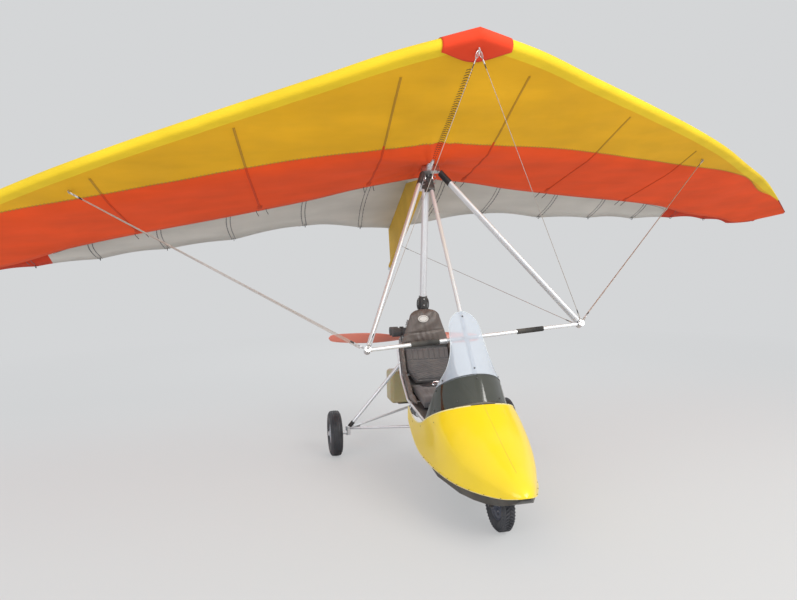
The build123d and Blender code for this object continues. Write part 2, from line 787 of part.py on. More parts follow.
def flange_face(row):
    station, rise, half = row[:3]
    with BuildSketch(Plane(origin=at(0, station, rim_height + rise + flange_thick / 2), x_dir=(1, 0, 0),
                           z_dir=(0, -1, 0))) as face:
        Rectangle(2 * (half + flange_width), flange_thick)
    return face.sketch


with BuildPart() as pod_hollow:
    loft([pod_face(row, pod_wall, 2 * pod_wall) for row in pod_sections[1:]], ruled=True)

with BuildPart() as pod:
    loft([pod_face(row, 0, 0) for row in pod_sections], ruled=True)
    loft([flange_face(row) for row in pod_sections[:rim_last]], ruled=True)
    add(pod_hollow.part, mode=Mode.SUBTRACT)
    with BuildSketch(side(-cutter_half)) as cockpit:
        with BuildLine():
            slope = (pod_edge[1] - pod_side[1]) / (pod_edge[0] - pod_side[0])
            start = (pod_edge[0] - arch_half, pod_edge[1] - arch_half * slope)
            ThreePointArc(pod_side, pod_dip, pod_rear)
            Polyline(pod_rear, (0, pod_rear[1]), (0, cutter_top), (start[0], cutter_top), start, pod_side)
        make_face()
    extrude(cockpit.sketch, amount=2 * cutter_half, mode=Mode.SUBTRACT)
    with BuildSketch(side(-cutter_half)) as tail:
        with BuildLine():
            ThreePointArc((pod_side[0], rim_height), tail_arc, tail_end)
            Polyline(tail_end, pod_rear, (0, pod_rear[1]), (0, 0), (pod_side[0], 0),
                     (pod_side[0], rim_height))
        make_face()
    extrude(tail.sketch, amount=2 * cutter_half, mode=Mode.SUBTRACT)
save(pod, "pod_body")


def rim_at(station):
    """Height of the pod's rim, which the belly pan meets."""
    for front, rear in zip(pod_sections[:-1], pod_sections[1:]):
        if station <= rear[0]:
            return rim_height + front[1] + (rear[1] - front[1]) * (station - front[0]) / (rear[0] - front[0])


def pan_face(row, inset):
    station, half, floor = row
    draft = 0.35 * (rim_at(station) - floor)
    top = rim_at(station) - fit_gap + inset
    low = floor + inset
    with BuildSketch(Plane(origin=at(0, station, 0), x_dir=(1, 0, 0), z_dir=(0, -1, 0))) as face:
        with BuildLine():
            Polyline((inset - half, top), (half - inset, top), (half - inset - draft, low),
                     (draft + inset - half, low), close=True)
        make_face()
    return face.sketch


with BuildPart() as pan_hollow:
    loft([pan_face(row, pod_wall) for row in pan_sections[1:-1]], ruled=True)
with BuildPart() as pan:
    loft([pan_face(row, 0) for row in pan_sections], ruled=True)
    add(pan_hollow.part, mode=Mode.SUBTRACT)
    slab((-arch_half, arch_half), (arch_front, arch_rear), (0, rim_height), mode=Mode.SUBTRACT)
save(pan, "pod_belly")

# Screen: height and half width at six levels, how far the sides lie behind the centre, their height,
# and the angle at which each elliptical arc starts
screen_levels = [
    (746, 304, 385, 550, 0),
    (918, 238, 165, 812, 12),
    (1010, 165, 54, 972, 28),
    (1100, 130, 22, 1092, 40),
    (1213, 117, 8, 1210, 45),
    (1345, 110, 6, 1343, 45),
]
screen_out = Vector(0, strut_line.Z, -strut_line.Y)


def screen_face(level):
    """Thin band from side to side, whose centre lies against the front of the strut."""
    height, half, sweep, side_height, start = level
    share = (strut_top[1] - height) / (strut_top[1] - strut_foot[1])
    strut_axis = along(centre(strut_top), centre(strut_foot), share)
    middle = strut_axis + screen_out * (strut_radius + fit_gap)
    port = Vector(half, middle.Y + sweep, side_height)
    flat = Plane(origin=middle, x_dir=(1, 0, 0), z_dir=Vector(1, 0, 0).cross(middle - port))
    across_radius = half / cos(radians(start))
    rise = -flat.to_local_coords(port).Y / (1 - sin(radians(start)))
    with BuildSketch(flat) as face:
        with BuildLine():
            inner = EllipticalCenterArc((0, -rise), across_radius, rise, start, arc_size=180 - 2 * start)
            outer = EllipticalCenterArc((0, -rise), across_radius + screen_thick, rise + screen_thick, start,
                                        arc_size=180 - 2 * start)
            Line(inner @ 0, outer @ 0)
            Line(inner @ 1, outer @ 1)
        make_face()
    return face.sketch


with BuildPart() as cowl:
    loft([screen_face(level) for level in screen_levels[:2]], ruled=True)
save(cowl, "screen_cowl")

round_height = screen_levels[4][0]
with BuildPart() as screen:
    loft([screen_face(level) for level in screen_levels[1:]], ruled=True)
    with BuildSketch(Plane(origin=at(0, 0, 0), x_dir=(1, 0, 0), z_dir=(0, -1, 0))) as outline:
        with Locations((0, round_height / 2)):
            Rectangle(800, round_height)
        with Locations((0, round_height)):
            Circle(screen_top - round_height)
    extrude(outline.sketch, amount=2000, mode=Mode.INTERSECT)
save(screen, "windscreen")

# Seat: side tubes, with cross tubes at the mast and over the base tube
seat_path = [(207, 978), (95, 730), (-144, 559), (-700, 500)]
seat_half = 250
seat_radius = 11
cross_places = [seat_path[0], seat_path[1], (-215, 551.5), seat_path[3]]
seat_grip = 940          # height at which the seat frame clamps on the mast
with BuildPart() as seat_frame:
    for hand in (1, -1):
        for first, second in zip(seat_path[:-1], seat_path[1:]):
            rod(centre(first, hand * seat_half), centre(second, hand * seat_half), seat_radius)
        for place in seat_path:
            with Locations(centre(place, hand * seat_half)):
                Sphere(seat_radius)
    for place in cross_places:
        rod(centre(place, -seat_half), centre(place, seat_half), seat_radius)
    for station, height in cross_places[2:]:
        tube_height = base_point(station).Z
        rod(at(0, station, tube_height + base_radius - 4), at(0, station, height), seat_radius)
        middle = base_point(station)
        rod(middle - base_line * 20, middle + base_line * 20, base_radius + 6)
    mast_grip = mast_point(seat_grip)
    rod(mast_grip - mast_line * 18, mast_grip + mast_line * 18, mast_radius + 6)
    rod(centre(seat_path[0]), mast_grip, seat_radius)
    rod(mast_point(seat_grip - 40), mast_point(seat_grip + 80), mast_radius + fit_gap, mode=Mode.SUBTRACT)
    rod(centre(base_front), centre(base_rear), base_radius + fit_gap, mode=Mode.SUBTRACT)
save(seat_frame, "seat_frame")


def cushion(profile, half, rounding):
    """Closed pad: a side profile drawn across X, with rounded long edges."""
    with BuildSketch(side(-half)) as face:
        with BuildLine():
            Polyline(profile, close=True)
        make_face()
        fillet(face.vertices(), rounding)
    extrude(face.sketch, amount=2 * half)


seat_back_rear = seat_path[0][0] - seat_radius - fit_gap
with BuildPart() as seat_back:
    with BuildSketch(Plane(origin=at(0, seat_back_rear, 0), x_dir=(1, 0, 0), z_dir=(0, -1, 0))) as face:
        with BuildLine():
            Line((-235, 975), (235, 975))
            Line((235, 975), (145, 1225))
            ThreePointArc((145, 1225), (0, 1300), (-145, 1225))
            Line((-145, 1225), (-235, 975))
        make_face()
        fillet(face.vertices(), 25)
    extrude(face.sketch, amount=62)
save(seat_back, "seat_back")

with BuildPart() as back_pad:
    cushion([(175.8, 955), (118, 968), (-10, 677), (49.8, 650)], 200, 12)
save(back_pad, "back_pad")

with BuildPart() as rear_cushion:
    cushion([(45, 632), (-120, 574), (-420, 540), (-420, 610), (-150, 655), (0, 668)], 190, 14)
save(rear_cushion, "rear_cushion")

with BuildPart() as front_cushion:
    cushion([(-440, 511.5), (-440, 600), (-520, 590), (-620, 562), (-930, 552), (-930, 511.5)], 170, 14)
save(front_cushion, "front_cushion")

# Tank on its tray
with BuildPart() as tray:
    slab((-tray_half, tray_half), (tank_front + 15, tank_rear - 15), (tank_low - 8, tank_low - fit_gap))
    slab((-20, 20), (tank_front + 70, tank_rear - 60), (base_rear[1] + base_radius, tank_low - 4))
    middle = base_point((tank_front + tank_rear) / 2)
    rod(middle - base_line * 60, middle + base_line * 60, base_radius + 7)
    rod(centre(base_front), centre(base_rear), base_radius + fit_gap, mode=Mode.SUBTRACT)
save(tray, "tank_tray")

with BuildPart() as tank:
    slab((-tank_half, tank_half), (tank_front, tank_rear), (tank_low, tank_top))
    fillet(tank.edges(), 35)
    filler = at(tank_half - 90, tank_front + 80, tank_top)
    rod(filler - Vector(0, 0, 10), filler + Vector(0, 0, 22), 32)
save(tank, "fuel_tank")

# Engine on two rails behind the mast
rail_top = rail_height + rail_size - fit_gap
rail_rear = engine_rear + 40
with BuildPart() as rails:
    for x in (-rail_half, rail_half):
        slab((x - rail_size / 2, x + rail_size / 2), (330, rail_rear), (rail_height, rail_top))
    for station in (335, 372, rail_rear - 15):
        slab((-rail_half, rail_half), (station - 10, station + 10), (rail_height, rail_top))
    rail_grip = mast_point(rail_height + rail_size / 2)
    rod(rail_grip - mast_line * 30, rail_grip + mast_line * 30, mast_radius + 10)
    rod(rail_grip - mast_line * 60, rail_grip + mast_line * 60, mast_radius + fit_gap, mode=Mode.SUBTRACT)
save(rails, "engine_rails")

stay_foot = base_point(base_rear[0] - 25)
with BuildPart() as stays:
    for hand in (1, -1):
        rod(at(hand * rail_half, rail_rear - 15, rail_height - fit_gap),
            stay_foot + Vector(hand * 12, 0, 0), 10)
    rod(stay_foot - base_line * 22, stay_foot + base_line * 22, base_radius + 7)
    rod(centre(base_front), centre(base_rear) + base_line * 50, base_radius + fit_gap, mode=Mode.SUBTRACT)
    slab((-2 * rail_half, 2 * rail_half), (base_rear[0], rail_rear + 100),
         (rail_height - fit_gap, engine_top), mode=Mode.SUBTRACT)
save(stays, "engine_stays")

with BuildPart() as engine:
    slab((-engine_half, engine_half), (engine_front, engine_rear), (engine_low, engine_top))
    chamfer(engine.edges().filter_by(Axis.Y), 25)
    rod(at(0, engine_front - starter_length, prop_height), at(0, engine_front + 5, prop_height),
        starter_radius)
save(engine, "engine_block")

with BuildPart() as cylinders:
    for station in cylinder_stations:
        rod(at(0, station, engine_top), at(0, station, engine_top + barrel_length), barrel_radius)
        fin_span = (station - fin_half + 10, station + fin_half - 10)
        head_span = (station - fin_half + 14, station + fin_half - 14)
        for level in range(fin_count):
            low = engine_top + 14 + fin_pitch * level
            slab((-fin_half, fin_half), fin_span, (low, low + fin_thick))
        head_low = engine_top + barrel_length
        slab((-fin_half + 8, fin_half - 8), head_span, (head_low, head_low + 22))
        for row in range(5):
            x = (row - 2) * 22
            slab((x - 2, x + 2), head_span, (head_low, head_low + 42))
        rod(at(0, station, head_low + 20), at(0, station, head_low + 78), 10)
save(cylinders, "engine_cylinders")

with BuildPart() as gearbox:
    slab((-75, 75), (engine_rear, gearbox_rear), (prop_height - 85, prop_height + 55))
    chamfer(gearbox.edges().filter_by(Axis.Y), 30)
    rod(at(0, gearbox_rear, prop_height), at(0, gearbox_rear + 15, prop_height), 45)
    rod(at(0, engine_rear + 40, prop_height), at(0, gearbox_rear + 20, prop_height), shaft_radius + fit_gap,
        mode=Mode.SUBTRACT)
save(gearbox, "gearbox")

port_height = engine_top + 60    # exhaust and inlet ports on the barrels
with BuildPart() as exhaust:
    rod(at(silencer_x, silencer_front, silencer_height), at(silencer_x, silencer_rear, silencer_height),
        silencer_radius, silencer_radius - tube_wall)
    for station in (silencer_front, silencer_rear - tube_wall):
        rod(at(silencer_x, station, silencer_height), at(silencer_x, station + tube_wall, silencer_height),
            silencer_radius)
    rod(at(silencer_x, silencer_rear, silencer_height),
        at(silencer_x, silencer_rear + 50, silencer_height), 16)
    for station in cylinder_stations:
        elbow = at(silencer_x - 70, station, port_height)
        rod(at(fin_half + fit_gap, station, port_height), elbow, pipe_radius)
        inlet_height = silencer_height + silencer_radius - tube_wall + 1
        rod(elbow, at(silencer_x - 14, station, inlet_height), pipe_radius)
        with Locations(elbow):
            Sphere(pipe_radius)
save(exhaust, "exhaust")

with BuildPart() as intake:
    for station in cylinder_stations:
        rod(at(-fin_half - fit_gap, station, port_height), at(-fin_half - 90, station, port_height), 24)
        rod(at(-fin_half - 50, station, port_height - 45), at(-fin_half - 50, station, port_height + 40), 20)
        rod(at(-fin_half - 90, station, port_height), at(-fin_half - 165, station, port_height), 42)
save(intake, "air_intake")

# Propeller: radius, chord, thickness and pitch of the blade's sections
blade_sections = [
    (40, 70, 26, 62),
    (150, 96, 20, 42),
    (350, 118, 14, 26),
    (600, 100, 9, 16),
    (760, 70, 5, 13),
    (787, 34, 3, 12),
]
prop_centre = at(0, prop_station, prop_height)
prop_roll = radians(prop_tilt)


def blade_face(reach, chord, thick, angle, turn):
    out = Vector(-cos(prop_roll), 0, sin(prop_roll)) * turn
    flat = Vector(0, 0, 1) * turn
    twist = radians(angle)
    around = out.cross(Vector(0, 1, 0))
    edge = around * cos(twist) + Vector(0, 1, 0) * sin(twist)
    with BuildSketch(Plane(origin=prop_centre + out * reach, x_dir=edge, z_dir=out)) as face:
        with BuildLine():
            ThreePointArc((-chord / 2, 0), (0, thick * 0.75), (chord / 2, 0))
            ThreePointArc((chord / 2, 0), (0, -thick * 0.25), (-chord / 2, 0))
        make_face()
    return face.sketch


with BuildPart() as propeller:
    for turn in (1, -1):
        loft([blade_face(*row, turn) for row in blade_sections], ruled=True)
    rod(at(0, prop_station - prop_hub_length / 2, prop_height),
        at(0, prop_station + prop_hub_length / 2, prop_height), prop_hub_radius)
    rod(at(0, engine_rear + 45, prop_height), at(0, prop_station, prop_height), shaft_radius)
save(propeller, "propeller")
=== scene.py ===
import json
from math import acos, atan2, cos, exp, pi, radians, sin, sqrt, tan

import bmesh
import bpy
from mathutils import Matrix, Vector


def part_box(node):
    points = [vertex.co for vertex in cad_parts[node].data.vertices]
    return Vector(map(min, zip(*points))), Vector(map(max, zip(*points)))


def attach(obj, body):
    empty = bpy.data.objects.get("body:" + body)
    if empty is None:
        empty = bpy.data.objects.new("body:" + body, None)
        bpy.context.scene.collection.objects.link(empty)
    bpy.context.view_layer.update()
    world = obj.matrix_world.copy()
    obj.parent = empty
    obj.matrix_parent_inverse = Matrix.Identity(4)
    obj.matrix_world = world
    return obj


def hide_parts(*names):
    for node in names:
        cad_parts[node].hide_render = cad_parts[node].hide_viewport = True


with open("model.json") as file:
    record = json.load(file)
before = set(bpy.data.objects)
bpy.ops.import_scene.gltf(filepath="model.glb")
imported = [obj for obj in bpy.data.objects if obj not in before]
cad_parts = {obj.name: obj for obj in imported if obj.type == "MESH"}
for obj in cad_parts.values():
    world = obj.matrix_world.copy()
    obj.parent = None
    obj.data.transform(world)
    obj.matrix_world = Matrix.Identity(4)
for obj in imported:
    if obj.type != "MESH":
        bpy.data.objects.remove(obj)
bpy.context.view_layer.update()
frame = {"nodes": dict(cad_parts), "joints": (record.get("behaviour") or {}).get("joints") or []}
joints = {joint["name"]: joint for joint in frame["joints"]}
scene = bpy.context.scene
nodes = frame["nodes"]
shift = 0.139   # stations are measured from the keel's hang section, this far aft of the origin
scene.view_settings.view_transform = "Standard"


def addObject(name, data):
    made = bpy.data.objects.new(name, data)
    scene.collection.objects.link(made)
    return made


# Angles of a ring of like things, in radians
def angles(count, first=0):
    return [2 * pi * (i + first) / count for i in range(count)]


# Camera, floor and light
camera = {
    "place": (-1.419, -4.836, 1.676),
    "heading": 12.915,   # degrees from aft towards port
    "drop": 3.165,
    "lean": -1.382,
    "lens": 27.05,
}
studio = {
    "floorColour": (0.62, 0.62, 0.61),
    "backdropColour": (0.66, 0.67, 0.68),
    "evenShare": 0.55,   # how far the near floor keeps the backdrop's tone under the camera's eye
    "evenFrom": 3.0,
    "evenTo": 11.0,
    "floorSize": 240,
    # name, place, aim, size, power and colour
    "lamps": [("keyLight", (3.4, -6.6, 5.4), (0, -0.8, 0.9), (5, 4), 500, (1, 0.98, 0.95)),
              ("fillLight", (-6.5, -6.5, 3.5), (0, 0, 1.2), (6, 5), 260, (0.96, 0.97, 1)),
              ("backLight", (1.0, 9.0, 6.0), (0, 0, 1.0), (8, 4), 260, (0.95, 0.97, 1))],
    "skyStrength": 0.75,
    "skyColour": (0.95, 0.97, 1.0),
}


def makeCamera():
    heading, drop, lean = (radians(camera[key]) for key in ("heading", "drop", "lean"))
    forward = Vector((sin(heading) * cos(drop), cos(heading) * cos(drop), -sin(drop)))
    right = Vector((cos(heading), -sin(heading), 0))
    up = right.cross(forward)
    tiltedRight = right * cos(lean) + up * sin(lean)
    tiltedUp = up * cos(lean) - right * sin(lean)
    turn = Matrix((tiltedRight, tiltedUp, -forward)).transposed().to_4x4()
    data = bpy.data.cameras.new("camera")
    data.lens = camera["lens"]
    data.sensor_width = 36
    data.clip_end = 200
    scene.camera = addObject("camera", data)
    scene.camera.matrix_world = Matrix.Translation(camera["place"]) @ turn


def areaLight(name, place, aim, size, power, colour):
    data = bpy.data.lights.new(name, "AREA")
    data.shape = "RECTANGLE"
    data.size, data.size_y = size
    data.energy = power
    data.color = colour
    lamp = addObject(name, data)
    lamp.location = place
    lamp.rotation_euler = (Vector(aim) - Vector(place)).to_track_quat("-Z", "Y").to_euler()


def floorLook():
    material = bpy.data.materials.new("studioFloor")
    material.use_nodes = True
    tree = material.node_tree
    shader = tree.nodes["Principled BSDF"]
    shader.inputs["Base Color"].default_value = (*studio["floorColour"], 1)
    shader.inputs["Roughness"].default_value = 0.9
    shader.inputs["Specular IOR Level"].default_value = 0.1
    even, mix, rays = (tree.nodes.new(kind) for kind in ("ShaderNodeEmission", "ShaderNodeMixShader",
                                                         "ShaderNodeLightPath"))
    even.inputs["Color"].default_value = (*studio["backdropColour"], 1)
    reach = tree.nodes.new("ShaderNodeVectorMath")
    reach.operation = "LENGTH"
    tree.links.new(tree.nodes.new("ShaderNodeTexCoord").outputs["Object"], reach.inputs[0])
    near, far = studio["evenFrom"], studio["evenTo"]
    share = spreadNode(tree, reach.outputs["Value"], near, far, studio["evenShare"], 1.0)
    tree.links.new(mathNode(tree, "MULTIPLY", rays.outputs["Is Camera Ray"], share), mix.inputs[0])
    tree.links.new(shader.outputs[0], mix.inputs[1])
    tree.links.new(even.outputs[0], mix.inputs[2])
    tree.links.new(mix.outputs[0], tree.nodes["Material Output"].inputs["Surface"])
    return material


def makeStudio():
    world = bpy.data.worlds.new("studio")
    scene.world = world
    world.use_nodes = True
    links, tree = world.node_tree.links, world.node_tree.nodes
    background = tree["Background"]
    background.inputs["Color"].default_value = (*studio["skyColour"], 1)
    background.inputs["Strength"].default_value = studio["skyStrength"]
    plain = tree.new("ShaderNodeBackground")
    plain.inputs["Color"].default_value = (*studio["backdropColour"], 1)
    rays = tree.new("ShaderNodeLightPath")
    seen = tree.new("ShaderNodeMath")
    seen.operation = "MAXIMUM"
    links.new(rays.outputs["Is Camera Ray"], seen.inputs[0])
    links.new(rays.outputs["Is Transmission Ray"], seen.inputs[1])
    mix = tree.new("ShaderNodeMixShader")
    links.new(seen.outputs[0], mix.inputs[0])
    links.new(background.outputs[0], mix.inputs[1])
    links.new(plain.outputs[0], mix.inputs[2])
    links.new(mix.outputs[0], tree["World Output"].inputs["Surface"])
    half = studio["floorSize"] / 2
    corners = [(-half, -half, 0), (half, -half, 0), (half, half, 0), (-half, half, 0)]
    mesh = bpy.data.meshes.new("floor")
    mesh.from_pydata(corners, [], [(0, 1, 2, 3)])
    mesh.materials.append(floorLook())
    addObject("floor", mesh)
    for lamp in studio["lamps"]:
        areaLight(*lamp)


# Shader groups
def newGroup(name, inputs, outputs):
    group = bpy.data.node_groups.new(name, "ShaderNodeTree")
    kinds = {"value": "NodeSocketFloat", "colour": "NodeSocketColor"}
    for socket, kind, start in inputs:
        item = group.interface.new_socket(name=socket, in_out="INPUT", socket_type=kinds[kind])
        if start is not None:
            item.default_value = start
    for socket, kind in outputs:
        group.interface.new_socket(name=socket, in_out="OUTPUT", socket_type=kinds[kind])
    return group, group.nodes.new("NodeGroupInput"), group.nodes.new("NodeGroupOutput")


def mathNode(tree, operation, first, second=None):
    node = tree.nodes.new("ShaderNodeMath")
    node.operation = operation
    for socket, value in zip(node.inputs, (first, second)):
        if value is None:
            continue
        if isinstance(value, (int, float)):
            socket.default_value = value
        else:
            tree.links.new(value, socket)
    return node.outputs[0]


def noiseNode(tree, vector, scale, detail=4):
    node = tree.nodes.new("ShaderNodeTexNoise")
    node.inputs["Detail"].default_value = detail
    if isinstance(scale, (int, float)):
        node.inputs["Scale"].default_value = scale
    else:
        tree.links.new(scale, node.inputs["Scale"])
    tree.links.new(vector, node.inputs["Vector"])
    return node.outputs["Fac"]


def mixColour(tree, share, first, second, blend="MIX"):
    node = tree.nodes.new("ShaderNodeMix")
    node.data_type = "RGBA"
    node.blend_type = blend
    for key, value in (("Factor", share), ("A", first), ("B", second)):
        socket = node.inputs[key]
        if isinstance(value, (int, float)):
            socket.default_value = value
        elif isinstance(value, tuple):
            socket.default_value = (*value, 1)
        else:
            tree.links.new(value, socket)
    return node.outputs["Result"]


def spreadNode(tree, value, low, high, start=0.0, end=1.0):
    node = tree.nodes.new("ShaderNodeMapRange")
    for key, number in zip(("From Min", "From Max", "To Min", "To Max"), (low, high, start, end)):
        node.inputs[key].default_value = number
    tree.links.new(value, node.inputs["Value"])
    return node.outputs["Result"]


# Dust that gathers in patches and on upward faces
def dustGroup():
    group, start, end = newGroup(
        "settledDust",
        [("Colour", "colour", None), ("Dust", "colour", None), ("Amount", "value", 0.2),
         ("Scale", "value", 6.0), ("Roughness", "value", 0.5)],
        [("Colour", "colour"), ("Roughness", "value")])
    spot = group.nodes.new("ShaderNodeTexCoord").outputs["Object"]
    patches = spreadNode(group, noiseNode(group, spot, start.outputs["Scale"], 6), 0.35, 0.75)
    shape = group.nodes.new("ShaderNodeNewGeometry")
    split = group.nodes.new("ShaderNodeSeparateXYZ")
    group.links.new(shape.outputs["Normal"], split.inputs[0])
    top = spreadNode(group, split.outputs["Z"], -0.2, 1.0, 0.35, 1.0)
    share = mathNode(group, "MULTIPLY", mathNode(group, "MULTIPLY", patches, top), start.outputs["Amount"])
    dusty = mixColour(group, share, start.outputs["Colour"], start.outputs["Dust"])
    group.links.new(dusty, end.inputs["Colour"])
    matt = mathNode(group, "ADD", start.outputs["Roughness"], mathNode(group, "MULTIPLY", share, 0.4))
    group.links.new(mathNode(group, "MINIMUM", matt, 1.0), end.inputs["Roughness"])
    return group


# Woven threads and soft creases, as a height, and a painted shade that darkens the creases' hollows and
# lightens their ridges
def clothGroup():
    group, start, end = newGroup(
        "wovenCloth",
        [("Threads", "value", 900.0), ("Creases", "value", 3.0), ("Crease Height", "value", 1.0)],
        [("Height", "value"), ("Shade", "value")])
    spot = group.nodes.new("ShaderNodeTexCoord").outputs["Object"]
    total = None
    for direction in ("X", "Y"):
        wave = group.nodes.new("ShaderNodeTexWave")
        wave.bands_direction = direction
        group.links.new(start.outputs["Threads"], wave.inputs["Scale"])
        group.links.new(spot, wave.inputs["Vector"])
        threads = wave.outputs["Fac"]
        total = threads if total is None else mathNode(group, "MULTIPLY", total, threads)
    stretch = group.nodes.new("ShaderNodeMapping")
    stretch.inputs["Scale"].default_value = (0.5, 1.6, 1.6)
    group.links.new(spot, stretch.inputs["Vector"])
    crease = noiseNode(group, stretch.outputs["Vector"], start.outputs["Creases"], 5)
    lift = mathNode(group, "MULTIPLY", crease, start.outputs["Crease Height"])
    weave = mathNode(group, "MULTIPLY", total, 0.05)
    group.links.new(mathNode(group, "ADD", weave, lift), end.inputs["Height"])
    # painted shade and highlight: the colour is darker in the creases' hollows and lighter on their ridges
    group.links.new(spreadNode(group, crease, 0.3, 0.7, 0.90, 1.06), end.inputs["Shade"])
    return group


# Fine pebbled grain and broad unevenness, as a height
def grainGroup():
    group, start, end = newGroup(
        "pebbleGrain", [("Grain", "value", 400.0), ("Waves", "value", 12.0)], [("Height", "value")])
    spot = group.nodes.new("ShaderNodeTexCoord").outputs["Object"]
    cells = group.nodes.new("ShaderNodeTexVoronoi")
    group.links.new(spot, cells.inputs["Vector"])
    group.links.new(start.outputs["Grain"], cells.inputs["Scale"])
    broad = noiseNode(group, spot, start.outputs["Waves"], 3)
    fine = mathNode(group, "MULTIPLY", cells.outputs["Distance"], 0.25)
    group.links.new(mathNode(group, "ADD", fine, broad), end.inputs["Height"])
    return group


groups = {"dust": dustGroup(), "cloth": clothGroup(), "grain": grainGroup()}


# Principled material with settled dust, broad variation and one kind of bump; the cloth bump also paints
# shade into the colour, darker in its creases and lighter on their ridges
def makeMaterial(name, colour, roughness, metallic=0.0, dust=0.12, dustColour=(0.42, 0.38, 0.32),
                 dustScale=6.0, bump=None, bumpHeight=0.1, bumpScale=None, shade=0.0, sockets=None):
    material = bpy.data.materials.new(name)
    material.use_nodes = True
    tree = material.node_tree
    shader = tree.nodes["Principled BSDF"]
    dusty = tree.nodes.new("ShaderNodeGroup")
    dusty.node_tree = groups["dust"]
    dusty.inputs["Dust"].default_value = (*dustColour, 1)
    dusty.inputs["Amount"].default_value = dust
    dusty.inputs["Scale"].default_value = dustScale
    dusty.inputs["Roughness"].default_value = roughness
    spot = tree.nodes.new("ShaderNodeTexCoord").outputs["Object"]
    tone = spreadNode(tree, noiseNode(tree, spot, 2.3, 3), 0.3, 0.7, 1 - shade, 1 + shade)
    height = None
    if bump in ("cloth", "grain"):
        surface = tree.nodes.new("ShaderNodeGroup")
        surface.node_tree = groups[bump]
        for key, value in (bumpScale or {}).items():
            surface.inputs[key].default_value = value
        height = surface.outputs["Height"]
        # the creases' painted shade darkens the colour in their hollows and lightens it on their ridges
        if bump == "cloth":
            tone = mathNode(tree, "MULTIPLY", tone, surface.outputs["Shade"])
    elif bump == "scratches":
        stretch = tree.nodes.new("ShaderNodeMapping")
        stretch.inputs["Scale"].default_value = (60, 60, 4)
        tree.links.new(spot, stretch.inputs["Vector"])
        height = noiseNode(tree, stretch.outputs["Vector"], 3.0, 6)
    colours = tree.nodes.new("ShaderNodeCombineColor")
    for key in ("Red", "Green", "Blue"):
        tree.links.new(tone, colours.inputs[key])
    tinted = mixColour(tree, 1.0, tuple(colour), colours.outputs[0], "MULTIPLY")
    tree.links.new(tinted, dusty.inputs["Colour"])
    tree.links.new(dusty.outputs["Colour"], shader.inputs["Base Color"])
    tree.links.new(dusty.outputs["Roughness"], shader.inputs["Roughness"])
    shader.inputs["Metallic"].default_value = metallic
    if height is not None:
        raised = tree.nodes.new("ShaderNodeBump")
        raised.inputs["Strength"].default_value = bumpHeight
        raised.inputs["Distance"].default_value = 0.002
        tree.links.new(height, raised.inputs["Height"])
        tree.links.new(raised.outputs[0], shader.inputs["Normal"])
    for key, value in (sockets or {}).items():
        shader.inputs[key].default_value = value
    return material


